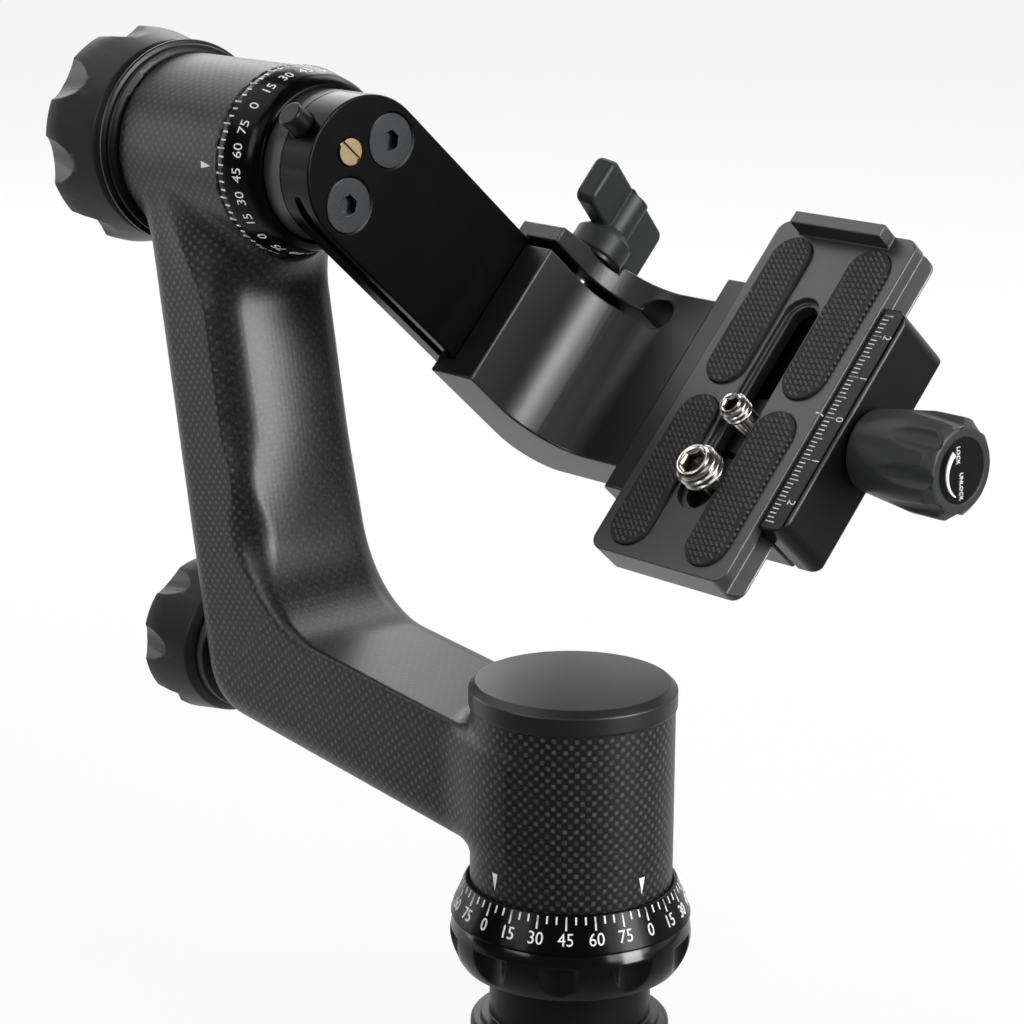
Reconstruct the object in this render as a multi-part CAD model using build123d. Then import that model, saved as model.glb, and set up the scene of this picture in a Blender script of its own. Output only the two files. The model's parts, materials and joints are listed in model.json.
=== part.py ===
"""Gimbal tripod head with a J-shaped carbon arm, as an assembly of its real pieces.

Frame: millimetres, +Z up the pan axis, origin at the centre of the face that sits on the
tripod.  The tilt axis is parallel to X at HUB_Z, with the arm on the -X side.  The swing is
at rest SWING_ANGLE away from hanging straight down, turned towards +Y.

Swing parts are drawn hanging down: d is the distance below the tilt axis (local -Z), e is the
distance along local +Y.  Hub parts are drawn upright, with local Z standing for world X.
"""
from build123d import *
from math import atan2, cos, degrees, pi, radians, sin
import os

# ---------------------------------------------------------------- fits and clearances
RUN = 0.05            # radial clearance of a turning or sliding fit
GAP = 0.4             # free gap between parts that turn past each other
SEAT = 0.1            # clearance between faces that slide or turn close together
EPS = 1.0             # overshoot of a cutting tool past the face it opens

# ---------------------------------------------------------------- base, on the pan axis
BASE_R = 20.25        # tripod face
BASE_T = 5.0
STEP_R = 18.2         # low raised ring on the base flange
STEP_T = 1.2
NECK_R = 16.4
NECK_H = 11.2
TRIPOD_R = 3.97       # 3/8-16 thread, wall radius of the tapped hole
TRIPOD_DEPTH = 9.5
GRIP_H = 10.5         # scalloped grip ring
GRIP_R = 24.5
GRIP_FOOT_R = 22.0
SCOOP_COUNT = 10
SCOOP_R = 5.6
SCOOP_CUT = 1.9
SCOOP_PHASE = 24.0
DIAL_H = 7.5          # pan scale ring
DIAL_R = 24.3
DIAL_TOP_R = 21.4
DIAL_EDGE = 0.5
FOOT_R = 11.5         # foot of the pan spindle, inside the grip ring
FOOT_T = 5.0
BASE_SCREWS = 4
BASE_SCREW_PCD = 16.8
M3_R = 1.5
M3_HEAD_R = 2.75
M3_HEAD_H = 3.0
M3_FLAT_H = 1.7       # countersunk head
DIAL_SCREWS = 3
DIAL_SCREW_PCD = 30.0

# ---------------------------------------------------------------- ball bearings
BEARING_BORE_R = 7.5
BEARING_R = 14.0
BEARING_W = 7.0
RACE_WALL = 1.9
BALL_R = 2.1
BALL_COUNT = 11
BALL_PLAY = 0.06
SPINDLE_R = BEARING_BORE_R - RUN

# ---------------------------------------------------------------- column of the arm
COLUMN_R = 20.5
COLUMN_TOP = 71.5
COLUMN_SINK = 1.8     # how far the column dips into the pan scale ring
CARBON_WALL = 1.6
SLEEVE_LIP_R = 11.5   # lip between the two bearing seats
CAP_LIP = 0.4         # how far the cap stands out past the column
CAP_R = COLUMN_R + CAP_LIP
CAP_H = 5.3
CAP_EDGE = 1.4
CAP_WALL = 1.4
NUT_R = 10.5
NUT_T = 4.0
NUT_BORE_R = BEARING_BORE_R - 1.0
BEARING_BASE = 8.1    # lower bearing above the floor of the scale ring

# ---------------------------------------------------------------- hub of the arm, tilt axis
HUB_Z = 171.1
HUB_R = 19.9
HUB_X0 = -126.4
HUB_X1 = -90.0
TILT_BEARING_INSET = 1.6
COLLAR_R = 22.6
COLLAR_T = 3.2
TILT_DIAL_X1 = -78.6
TILT_DIAL_R = 20.2
TILT_DIAL_FRONT_R = 18.9
TILT_DIAL_SHOULDER = 2.6
TICK_BAND = 2.6

# ---------------------------------------------------------------- J-shaped arm
LIMB_HALF = 13.4      # half thickness, in the plane of the arm
LIMB_DEPTH = 35.0     # across the plane of the arm
LIMB_CORNER = 8.0
FRONT_CORNER = 2.2    # tighter corner along the inner edge of the front
ARM_LEAN = 11.4       # upright limb, degrees off vertical
ARM_SLOPE = 5.64      # lower limb, degrees off level
ELBOW_X = -91.3
ELBOW_Z = 61.2
OUTER_BEND = 14.0
INNER_BEND = 24.0

# ---------------------------------------------------------------- pan brake, along X
BRAKE_Z = 58.6
ROD_R = 3.0
ROD_DEPTH = 12.0      # knob end of the push rod, in from the face of the elbow
SHOE_R = 3.4
SHOE_T = 3.0
BUSH_R = 14.2
BUSH_T = 3.4
BUSH_BORE_R = 4.0
BUSH_STEM_R = 7.0
BUSH_STEM_L = 9.0
BUSH_FACE = 0.6       # flat on the elbow beyond the edge of the bush

# ---------------------------------------------------------------- fluted knobs
TILT_KNOB_R = 24.3
TILT_KNOB_FOOT_R = 22.2
TILT_KNOB_L = 22.2
THRUST_T = 0.8        # washer between the collar and the tilt knob
THRUST_R = 17.0
TILT_FLUTES = 8
TILT_FLUTE_PHASE = 10.0
PAN_KNOB_R = 17.6
PAN_KNOB_FOOT_R = 16.0
PAN_KNOB_L = 18.5
PAN_FLUTES = 7
PAN_FLUTE_PHASE = 12.0
CLAMP_KNOB_R = 10.4
CLAMP_KNOB_FOOT_R = 8.6
CLAMP_KNOB_L = 23.5
CLAMP_FLUTES = 8
FLUTE_DEPTH = 0.16    # flute depth and width as shares of the knob radius
FLUTE_WIDTH = 0.30
KNOB_WALL = 3.0
STUD_R = 4.0
TILT_STUD_L = 24.0

# ---------------------------------------------------------------- swing plate and spindle
SWING_ANGLE = 48.1
PLATE_FRONT_X = -63.74
PLATE_BACK_X = -73.2
PLATE_HALF = 16.0
PLATE_END = 80.0      # d of the lower end
GROOVE_LAND = 2.2     # front edge left in front of the side groove
GROOVE_BEVEL = 1.6
GROOVE_DEPTH = 2.6
GROOVE_W = 5.2
PIN_R = 2.8           # stop pin in the round end of the plate
PIN_X = -70.0
PIN_SINK = 5.0
PIN_PROUD = 4.4
PIN_ANGLE = 93.0      # from local +e towards local up
SCREW_E = 8.4
SCREW_D = 0.3
SCREW_HEAD_R = 5.7
SCREW_HEAD_H = 3.2
SCREW_SHANK_R = 3.0
SCREW_L = 11.0
FLUSH = 0.15          # how far a flat head sits below its face
HEX_R = 2.3
HEX_DEPTH = 2.0
BRASS_D = -7.0
BRASS_R = 2.8
BRASS_L = 7.0
BRASS_PROUD = 0.6
BRASS_SLOT = 1.1

# ---------------------------------------------------------------- cradle
LEG_START = 45.3      # d of the upper end
LEG_FRONT_X = -55.3
LEG_BACK_X = -68.6
LEG_E0 = -19.8
LEG_E1 = 20.4
LEG_FLARE = 3.1       # extra width of the slit side by FLARE_END
FLARE_END = 66.0
LEG_TOP = 71.3        # d of the lower leg's upper face
LEG_BOTTOM = 82.9
INNER_FILLET = 15.0
OUTER_FILLET = 12.0
SLIT_E = 15.6
SLIT_W = 2.0
RELIEF_X = -43.6
RELIEF_R = 3.6
RELIEF_E = 17.4
CLAMP_X0 = -26.4
CLAMP_E = 26.8        # half length of the jaws
JAW_TOP = 66.6

# ---------------------------------------------------------------- quick-release plate and jaw
QR_TOP = 65.67
QR_T = 8.0
QR_X = -0.15
QR_HALF = 19.15
QR_E0 = -40.9
QR_E1 = 42.9
QR_CORNER = 3.0
QR_LAND = 2.8         # plain upper edge, above the dovetail groove
DOVETAIL = 2.4        # depth and half width of the groove
JAW_T = 6.4
JAW_SPLIT = 1.2
JAW_TRAVEL = 3.0
LIP_H = 4.4
LIP_T = 3.0
LIP_HALF = 12.5
SLOT_HALF = 3.4
SLOT_LEDGE = 4.6
SLOT_LEDGE_T = 1.6
SLOT_E0 = -26.0
SLOT_E1 = 24.0
HEAD_WELL_HALF = 8.2
HEAD_WELL_T = 3.4
PAD_HALF = 5.2
PAD_X = 10.8
PAD_E = (20.2, -20.2)
PAD_L = 37.0
PAD_POCKET = 0.8
PAD_PROUD = 0.7
SAFETY_E = 36.4
SAFETY_R = 2.4
SAFETY_SHANK_R = 1.6
SAFETY_PROUD = 1.2
SAFETY_L = 3.6

# ---------------------------------------------------------------- camera screws in the slot
BIG_R = 4.76          # 3/8 inch
SMALL_R = 3.175       # 1/4 inch
SHANK_R = 2.6
BIG_E = -19.0
SMALL_E = -4.2
BIG_PROUD = 5.6
SMALL_PROUD = 4.6
HEAD_R = 7.0
HEAD_T = 1.7
WASHER_T = 1.0
WASHER_HALF = 8.0

# ---------------------------------------------------------------- clamp screw, guides, wing lever
CLAMP_RISE = 5.9      # clamp screw above the foot of the jaws
CLAMP_STUD_R = 3.0
GUIDE_R = 1.6
GUIDE_E = 19.0
DISC_R = 6.7
DISC_T = 1.0
LEVER_X = -60.1
LEVER_D = 60.7
LEVER_R = 6.6
LEVER_NECK = 3.6      # round neck below the wings
BLADE_H = 14.0
BLADE_RISE = 2.6      # how much higher one wing starts than the other
BLADE_T = 5.9
BLADE_STEP = 0.8      # offset between the faces of the two wings
BLADE_OUT = 15.6
BLADE_TURN = 16.0
LEVER_STUD_R = 2.5
LEVER_STUD_END = -6.0
WASHER_H = 0.8

# ---------------------------------------------------------------- places worked out from the sizes
NECK_TOP = BASE_T + NECK_H + STEP_T
GRIP_TOP = NECK_TOP + GRIP_H
DIAL_TOP = GRIP_TOP + DIAL_H
COLUMN_FOOT = DIAL_TOP - COLUMN_SINK
DIAL_FLOOR = COLUMN_FOOT - GAP
SLEEVE_R = COLUMN_R - CARBON_WALL
HUB_SLEEVE_R = HUB_R - CARBON_WALL
LOWER_BEARING = GRIP_TOP + BEARING_BASE
UPPER_BEARING = COLUMN_TOP - BEARING_W - 1.0
SPINDLE_TOP = UPPER_BEARING + BEARING_W + NUT_T
COLLAR_X0 = HUB_X0 - COLLAR_T
TILT_KNOB_X = COLLAR_X0 - THRUST_T - 2 * SEAT
TILT_DIAL_X0 = HUB_X1 + GAP
LEAN = (-sin(radians(ARM_LEAN)), cos(radians(ARM_LEAN)))       # up the upright limb, (x, z)
FALL = (cos(radians(ARM_SLOPE)), -sin(radians(ARM_SLOPE)))     # along the lower limb, (x, z)
BRAKE_X = ELBOW_X - LIMB_HALF - 1.2                            # face that the pan bush sits on
BUSH_X = BRAKE_X - BUSH_T
PAN_KNOB_X = BUSH_X - GAP
QR_BOTTOM = QR_TOP + QR_T
QR_X0 = QR_X - QR_HALF
QR_X1 = QR_X + QR_HALF
FLOOR_D = QR_BOTTOM + 0.3
TIP_D = QR_TOP + QR_LAND + DOVETAIL                            # d of the dovetail tips
CLAMP_D = LEG_BOTTOM - CLAMP_RISE
FIXED_JAW_X = QR_X0 - SEAT
JAW_X0 = QR_X1 + SEAT
JAW_X1 = JAW_X0 + JAW_T
CLAMP_KNOB_X = JAW_X1 + SEAT
GROOVE_TIP = PLATE_HALF - GROOVE_DEPTH


# ================================================================ helpers
def disc(r, z0, z1):
    """Solid cylinder about Z from z0 to z1."""
    return Pos(0, 0, z0) * Cylinder(r, z1 - z0, align=(Align.CENTER, Align.CENTER, Align.MIN))


def tube(r_out, r_in, z0, z1):
    return disc(r_out, z0, z1) - disc(r_in, z0 - EPS, z1 + EPS)


def block(x0, x1, y0, y1, z0, z1):
    box = Box(x1 - x0, y1 - y0, z1 - z0, align=(Align.MIN, Align.MIN, Align.MIN))
    return Pos(x0, y0, z0) * box


def turned(points):
    """Solid of revolution about Z from (r, z) corners."""
    face = make_face(Polyline(*points, close=True))
    return revolve(Plane.XZ * face, Axis.Z)


def slab(points, y0, y1):
    """Prism of (x, z) corners from y0 to y1."""
    face = Plane.XZ.offset(-y0) * make_face(Polyline(*points, close=True))
    return extrude(face, amount=-(y1 - y0))


def ring_of(shape, count, phase=0.0):
    """Copies of a shape round Z, as a list."""
    return [Rot(Z=phase + 360 / count * i) * shape for i in range(count)]


def along_x(shape, z, y=0.0):
    """Turn a shape drawn about Z so that local Z becomes world X, at height z."""
    return Pos(0, y, z) * Rot(Y=90) * shape


def on_hub(shape):
    return along_x(shape, HUB_Z)


def swung(shape):
    """Place a shape drawn hanging from the tilt axis at its rest angle."""
    return Pos(0, 0, HUB_Z) * Rot(X=SWING_ANGLE) * shape


def along_e(shape, x, d):
    """Turn a shape drawn about Z so that local Z becomes local e, at x and d."""
    return Pos(x, 0, -d) * Rot(X=-90) * shape


def screw(shank_r, head_r, head_h, length, hex_r, hex_depth, flat=False):
    """Socket screw about Z, head top at z = 0 and shank downwards."""
    foot_r = shank_r if flat else head_r
    head = turned([(0, 0), (head_r, 0), (foot_r, -head_h), (0, -head_h)])
    socket = Pos(0, 0, -hex_depth) * extrude(RegularPolygon(hex_r, 6), amount=hex_depth + EPS)
    return head + disc(shank_r, -length, -head_h / 2) - socket


def countersink(shank_r, head_r, head_h, length):
    """Cutter for a flat-head screw about Z, opening at z = 0."""
    rim_r = head_r + SEAT
    hole_r = shank_r + RUN
    return turned([(0, EPS), (rim_r, EPS), (rim_r, -FLUSH), (hole_r, -head_h - FLUSH - SEAT),
                   (hole_r, -length), (0, -length)])


def bearing_race_inner(z0):
    race = tube(BEARING_BORE_R + RACE_WALL, BEARING_BORE_R, z0, z0 + BEARING_W)
    return race - ball_track(z0)


def bearing_race_outer(z0):
    race = tube(BEARING_R, BEARING_R - RACE_WALL, z0, z0 + BEARING_W)
    return race - ball_track(z0)


def pitch_radius():
    return (BEARING_BORE_R + BEARING_R) / 2


def ball_track(z0):
    return Pos(0, 0, z0 + BEARING_W / 2) * Torus(pitch_radius(), BALL_R + BALL_PLAY)


def bearing_balls(z0):
    ball = Pos(pitch_radius(), 0, z0 + BEARING_W / 2) * Sphere(BALL_R)
    return ring_of(ball, BALL_COUNT)


def fluted_knob(foot_r, end_r, length, flutes, phase, bore_r, well):
    """Knob about Z: foot at z = 0, flared free end at z = -length, leaf-shaped flutes."""
    edge = 0.09 * end_r
    body = turned([(0, 0), (foot_r - edge, 0), (foot_r, -edge), (end_r, -0.62 * length),
                   (end_r, -length + 2 * edge), (end_r - 2 * edge, -length), (0, -length)])
    cut_r = FLUTE_WIDTH * end_r
    reach = cut_r + end_r - FLUTE_DEPTH * end_r
    lean = degrees(atan2(FLUTE_DEPTH * end_r, 0.72 * length))
    cutter = Pos(reach, 0, -length) * Rot(Y=lean) * disc(cut_r, -length, 1.6 * length)
    for copy in ring_of(cutter, flutes, phase):
        body -= copy
    body -= disc(bore_r, -length + well, EPS)
    return body


def knob_core(r, length, stud_r, stud_end):
    """Metal insert of a knob about Z, from z = -length to 0, with its stud up to stud_end."""
    return disc(r, -length, 0) + disc(stud_r, -length / 2, stud_end)


# ================================================================ base
def base_screw_places():
    return [(BASE_SCREW_PCD / 2, 45 + 360 / BASE_SCREWS * i) for i in range(BASE_SCREWS)]


def placed_round(shape, places, z):
    return [Rot(Z=a) * Pos(r, 0, z) * shape for r, a in places]


def base_plate():
    body = turned([(0, 0), (BASE_R - 0.8, 0), (BASE_R, 0.8), (BASE_R, BASE_T - 0.6), (BASE_R - 0.6, BASE_T),
                   (STEP_R, BASE_T), (STEP_R, BASE_T + STEP_T), (NECK_R, BASE_T + STEP_T),
                   (NECK_R, NECK_TOP), (0, NECK_TOP)])
    body -= disc(TRIPOD_R, -EPS, TRIPOD_DEPTH)
    hole = disc(M3_R + RUN, -EPS, NECK_TOP + EPS) + disc(M3_HEAD_R + SEAT, -EPS, BASE_T + M3_HEAD_H)
    for copy in placed_round(hole, base_screw_places(), 0):
        body -= copy
    return body


def base_screws():
    top = NECK_TOP + FOOT_T - 0.6
    length = top - BASE_T
    one = Rot(X=180) * screw(M3_R, M3_HEAD_R, M3_HEAD_H, length, 1.4, 1.6)
    return placed_round(one, base_screw_places(), BASE_T)


def grip_ring():
    mid = NECK_TOP + 0.62 * GRIP_H
    steps = 9
    side = []
    for i in range(steps + 1):
        t = i / steps
        z = NECK_TOP + t * GRIP_H
        bulge = 1 - ((z - mid) / (GRIP_H * 0.75)) ** 2
        side.append((GRIP_FOOT_R - 1.2 + (GRIP_R - GRIP_FOOT_R + 1.2) * bulge, z))
    body = turned([(FOOT_R + SEAT, NECK_TOP)] + side + [(FOOT_R + SEAT, GRIP_TOP)])
    scoop = Pos(GRIP_R + SCOOP_R - SCOOP_CUT, 0, NECK_TOP + 0.42 * GRIP_H) * Rot(Y=-8)
    scoop = scoop * disc(SCOOP_R, -GRIP_H, GRIP_H * 0.36)
    for copy in ring_of(scoop, SCOOP_COUNT, SCOOP_PHASE):
        body -= copy
    for copy in placed_round(disc(M3_R, -GRIP_H + 3, EPS), dial_screw_places(), GRIP_TOP):
        body -= copy
    return body


def dial_screw_places():
    return [(DIAL_SCREW_PCD / 2, 360 / DIAL_SCREWS * i) for i in range(DIAL_SCREWS)]


def pan_scale_ring():
    well_r = COLUMN_R + GAP / 2
    body = turned([(FOOT_R + SEAT, GRIP_TOP), (DIAL_R, GRIP_TOP), (DIAL_R, GRIP_TOP + DIAL_EDGE),
                   (DIAL_TOP_R, DIAL_TOP), (well_r, DIAL_TOP), (well_r, DIAL_FLOOR),
                   (FOOT_R + SEAT, DIAL_FLOOR)])
    seat = countersink(M3_R, M3_HEAD_R, M3_FLAT_H, GRIP_H)
    for copy in placed_round(seat, dial_screw_places(), DIAL_FLOOR):
        body -= copy
    return body


def scale_ring_screws():
    length = DIAL_FLOOR - GRIP_TOP + GRIP_H - 4
    one = screw(M3_R, M3_HEAD_R, M3_FLAT_H, length, 1.0, 1.0, flat=True)
    return placed_round(one, dial_screw_places(), DIAL_FLOOR - FLUSH)


def pan_spindle():
    shoulder_r = BEARING_BORE_R + RACE_WALL
    bearing_top = UPPER_BEARING + BEARING_W
    body = turned([(0, NECK_TOP), (FOOT_R, NECK_TOP), (FOOT_R, NECK_TOP + FOOT_T),
                   (shoulder_r, NECK_TOP + FOOT_T), (shoulder_r, LOWER_BEARING),
                   (SPINDLE_R, LOWER_BEARING), (SPINDLE_R, bearing_top), (NUT_BORE_R, bearing_top),
                   (NUT_BORE_R, SPINDLE_TOP), (0, SPINDLE_TOP)])
    for copy in placed_round(disc(M3_R, -EPS, FOOT_T - 0.4), base_screw_places(), NECK_TOP):
        body -= copy
    return body


def pan_lock_nut():
    z0 = UPPER_BEARING + BEARING_W
    nut = tube(NUT_R, NUT_BORE_R, z0, z0 + NUT_T)
    notch = Pos(NUT_R, 0, z0 + NUT_T) * Box(3, 3, 3)
    for copy in ring_of(notch, 4):
        nut -= copy
    return nut


# ================================================================ arm
def limb_corners(half, reach):
    """Corners of the L-shaped outline: outer side first, then the inner side."""
    up = (-LEAN[1], LEAN[0])                 # outward from the upright limb
    down = (FALL[1], -FALL[0])               # outward from the lower limb
    top = (HUB_Z - ELBOW_Z) / LEAN[1]
    along = (-ELBOW_X + reach) / FALL[0]

    def line_point(direction, side, s, h):
        return (ELBOW_X + direction[0] * s + side[0] * h, ELBOW_Z + direction[1] * s + side[1] * h)

    def corner(h):
        det = LEAN[0] * FALL[1] - LEAN[1] * FALL[0]
        px, pz = h * (down[0] - up[0]), h * (down[1] - up[1])
        s = (px * FALL[1] - pz * FALL[0]) / det
        return line_point(LEAN, up, s, h)

    return [line_point(LEAN, up, top, half), corner(half), line_point(FALL, down, along, half),
            line_point(FALL, down, along, -half), corner(-half), line_point(LEAN, up, top, -half)]


def limb(inset):
    """The bent limb, shrunk by inset on every long face."""
    half = LIMB_HALF - inset
    depth = LIMB_DEPTH / 2 - inset
    points = limb_corners(half, 0.0)
    outline = make_face(Polyline(*points, close=True))
    outer = outline.vertices().sort_by_distance((*points[1], 0))[0]
    outline = fillet(outer, OUTER_BEND - inset)
    inner = outline.vertices().sort_by_distance((*points[4], 0))[0]
    outline = fillet(inner, INNER_BEND + inset)
    body = extrude(Plane.XZ.offset(depth) * outline, amount=-2 * depth)
    rims = body.faces().filter_by(Plane.XZ).edges()
    ends = [Vector(points[i][0], 0, points[i][1]) for i in (0, 2, 3, 5)]
    top_mid = (ends[0] + ends[3]) / 2
    side_mid = (ends[1] + ends[2]) / 2
    long_rims = [edge for edge in rims
                 if (flat_to(edge.center(), top_mid) > 1.0 and flat_to(edge.center(), side_mid) > 1.0)]
    if inset > 0:
        return fillet(long_rims, LIMB_CORNER - inset)
    tight = [edge for edge in long_rims if edge.center().Y < 0 and inside_bend(edge.center())]
    body = fillet([edge for edge in long_rims if edge not in tight], LIMB_CORNER)
    return fillet([edge for edge in body.edges() if any(same_place(edge, other) for other in tight)],
                  FRONT_CORNER)


def inside_bend(point):
    """True on the inner side of the limb's middle line."""
    x, z = point.X - ELBOW_X, point.Z - ELBOW_Z
    return max(LEAN[0] * z - LEAN[1] * x, FALL[1] * x - FALL[0] * z) < 0


def same_place(edge, other):
    return (edge.center() - other.center()).length < 0.01


def flat_to(point, other):
    """Distance in the XZ plane."""
    return Vector(point.X - other.X, 0, point.Z - other.Z).length


def carbon_arm():
    keep = block(HUB_X0, COLUMN_R, -LIMB_DEPTH, LIMB_DEPTH, 0, HUB_Z + HUB_R)
    body = (limb(0) & keep) + disc(COLUMN_R, COLUMN_FOOT, COLUMN_TOP) + on_hub(disc(HUB_R, HUB_X0, HUB_X1))
    body -= limb(CARBON_WALL + 0.6)
    body -= disc(SLEEVE_R, COLUMN_FOOT - EPS, COLUMN_TOP + EPS)
    body -= on_hub(disc(HUB_SLEEVE_R, HUB_X0 - EPS, HUB_X1 + EPS))
    body -= along_x(disc(BUSH_STEM_R, BUSH_X - EPS, ELBOW_X), BRAKE_Z)
    face = BUSH_R + BUSH_FACE
    body -= block(BRAKE_X - LIMB_HALF, BRAKE_X, -face, face, BRAKE_Z - face, BRAKE_Z + face)
    return body.solids().sort_by(SortBy.VOLUME)[-1]


def column_sleeve():
    body = tube(SLEEVE_R, SLEEVE_LIP_R, COLUMN_FOOT, COLUMN_TOP)
    body -= disc(BEARING_R, COLUMN_FOOT - EPS, LOWER_BEARING + BEARING_W)
    body -= disc(BEARING_R, UPPER_BEARING, COLUMN_TOP + EPS)
    body -= along_x(disc(SHOE_R + RUN, -SLEEVE_R - EPS, -SLEEVE_LIP_R + EPS), BRAKE_Z)
    return body


def column_cap():
    well_r = BEARING_R - 0.6
    z1 = COLUMN_TOP + CAP_H
    seat = COLUMN_TOP - 0.6
    return turned([(well_r, seat), (BEARING_R, seat), (BEARING_R, COLUMN_TOP), (COLUMN_R, COLUMN_TOP),
                   (CAP_R, COLUMN_TOP + CAP_LIP), (CAP_R, z1 - CAP_EDGE), (CAP_R - CAP_EDGE, z1), (0, z1),
                   (0, z1 - CAP_WALL), (well_r, z1 - CAP_WALL)])


def hub_bearing_places():
    return (HUB_X0 + TILT_BEARING_INSET, HUB_X1 - TILT_BEARING_INSET - BEARING_W)


def hub_sleeve():
    body = tube(HUB_SLEEVE_R, SLEEVE_LIP_R, HUB_X0, HUB_X1)
    body -= disc(BEARING_R, HUB_X0 - EPS, hub_bearing_places()[0] + BEARING_W)
    body -= disc(BEARING_R, hub_bearing_places()[1], HUB_X1 + EPS)
    return on_hub(body)


def tilt_collar():
    inner_rim = COLLAR_R - 0.9
    body = turned([(SLEEVE_LIP_R, HUB_X0), (HUB_R + 0.2, HUB_X0), (inner_rim, HUB_X0 - 0.7),
                   (inner_rim, HUB_X0 - 1.5), (inner_rim - 0.6, HUB_X0 - 1.9), (COLLAR_R, HUB_X0 - 2.3),
                   (COLLAR_R, COLLAR_X0), (SLEEVE_LIP_R, COLLAR_X0)])
    return on_hub(body)


def tilt_thrust_washer():
    x1 = COLLAR_X0 - SEAT
    return on_hub(tube(THRUST_R, STUD_R + SEAT, x1 - THRUST_T, x1))


def pan_lock_bush():
    body = turned([(BUSH_BORE_R, BRAKE_X), (BUSH_R - 1.6, BRAKE_X), (BUSH_R, BRAKE_X - 1.0),
                   (BUSH_R, BUSH_X), (BUSH_BORE_R, BUSH_X)])
    body += tube(BUSH_STEM_R, BUSH_BORE_R, BRAKE_X - 0.5, BRAKE_X + BUSH_STEM_L)
    return along_x(body, BRAKE_Z)


# ================================================================ pan brake and knobs
def brake_shoe():
    x1 = -BEARING_BORE_R
    body = along_x(disc(SHOE_R, x1 - SHOE_T - 1, x1 + 2), BRAKE_Z)
    return body - disc(BEARING_BORE_R + RUN, 0, SPINDLE_TOP)


def brake_push_rod():
    return along_x(disc(ROD_R, BRAKE_X + ROD_DEPTH, -BEARING_BORE_R - SHOE_T - 1), BRAKE_Z)


def pan_knob():
    body = fluted_knob(PAN_KNOB_FOOT_R, PAN_KNOB_R, PAN_KNOB_L, PAN_FLUTES, PAN_FLUTE_PHASE,
                       PAN_KNOB_FOOT_R - KNOB_WALL, KNOB_WALL)
    return along_x(Pos(0, 0, PAN_KNOB_X) * body, BRAKE_Z)


def pan_knob_core():
    length = PAN_KNOB_L - KNOB_WALL
    body = knob_core(PAN_KNOB_FOOT_R - KNOB_WALL, length, BUSH_BORE_R - RUN,
                     BRAKE_X + ROD_DEPTH - PAN_KNOB_X)
    return along_x(Pos(0, 0, PAN_KNOB_X) * body, BRAKE_Z)


def tilt_knob():
    body = fluted_knob(TILT_KNOB_FOOT_R, TILT_KNOB_R, TILT_KNOB_L, TILT_FLUTES, TILT_FLUTE_PHASE,
                       TILT_KNOB_FOOT_R - KNOB_WALL, KNOB_WALL)
    return on_hub(Pos(0, 0, TILT_KNOB_X) * body)


def tilt_knob_core():
    body = knob_core(TILT_KNOB_FOOT_R - KNOB_WALL, TILT_KNOB_L - KNOB_WALL, STUD_R, TILT_STUD_L)
    return on_hub(Pos(0, 0, TILT_KNOB_X) * body)


# ================================================================ swing
def tilt_spindle():
    shoulder_r = BEARING_BORE_R + RACE_WALL
    shoulder_x = hub_bearing_places()[1] + BEARING_W
    end_x = HUB_X0 + 0.4
    body = turned([(0, PLATE_BACK_X), (PLATE_HALF, PLATE_BACK_X), (PLATE_HALF, TILT_DIAL_X1),
                   (shoulder_r, TILT_DIAL_X1), (shoulder_r, shoulder_x), (SPINDLE_R, shoulder_x),
                   (SPINDLE_R, end_x), (0, end_x)])
    body -= disc(STUD_R + RUN, HUB_X0 - EPS, TILT_KNOB_X + TILT_STUD_L + 2)
    body = Rot(Y=90) * body
    for e in (-SCREW_E, SCREW_E):
        hole = disc(SCREW_SHANK_R, PLATE_FRONT_X - SCREW_L - 0.5, PLATE_FRONT_X)
        body -= Pos(0, e, -SCREW_D) * Rot(Y=90) * hole
    return swung(body)


def pin_peg():
    """Round peg standing on the round end of the swing plate, drawn hanging."""
    peg = disc(PIN_R, PLATE_HALF - PIN_SINK, PLATE_HALF + PIN_PROUD)
    return Rot(X=PIN_ANGLE - 90) * Pos(PIN_X, 0, 0) * peg


def stop_pin():
    edge = pin_peg().faces().filter_by(GeomType.PLANE).sort_by(Axis.Z)[-1].edges()
    return swung(fillet(edge, 0.5))


def tilt_scale_ring():
    bore = BEARING_BORE_R + RACE_WALL
    x1 = TILT_DIAL_X1
    body = turned([(bore, TILT_DIAL_X0), (TILT_DIAL_R - 0.3, TILT_DIAL_X0),
                   (TILT_DIAL_R, TILT_DIAL_X0 + TICK_BAND), (TILT_DIAL_FRONT_R, x1 - TILT_DIAL_SHOULDER),
                   (TILT_DIAL_FRONT_R - 0.8, x1 - 0.9), (PLATE_HALF + 0.8, x1), (bore, x1)])
    return on_hub(body)


def plate_outline(half, end):
    """Plate seen along X: round at the tilt axis, straight to its lower end; (e, -d) plane."""
    shape = Circle(half) + Pos(0, -end / 2) * Rectangle(2 * half, end)
    return Plane.YZ * shape


def side_groove(side):
    """Cutter for the dovetail groove in one side of the swing plate, drawn hanging."""
    x0 = PLATE_FRONT_X - GROOVE_LAND
    x2 = PLATE_FRONT_X - GROOVE_W
    face_e, open_e, tip_e = side * PLATE_HALF, side * (PLATE_HALF + EPS), side * GROOVE_TIP
    corners = [(x0, open_e), (x0, face_e), (x0 - GROOVE_BEVEL, tip_e), (x2, tip_e), (x2, open_e)]
    groove = extrude(make_face(Polyline(*corners, close=True)), amount=PLATE_END + PLATE_HALF + 2 * EPS)
    return Pos(0, 0, -PLATE_END - EPS) * groove


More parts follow.
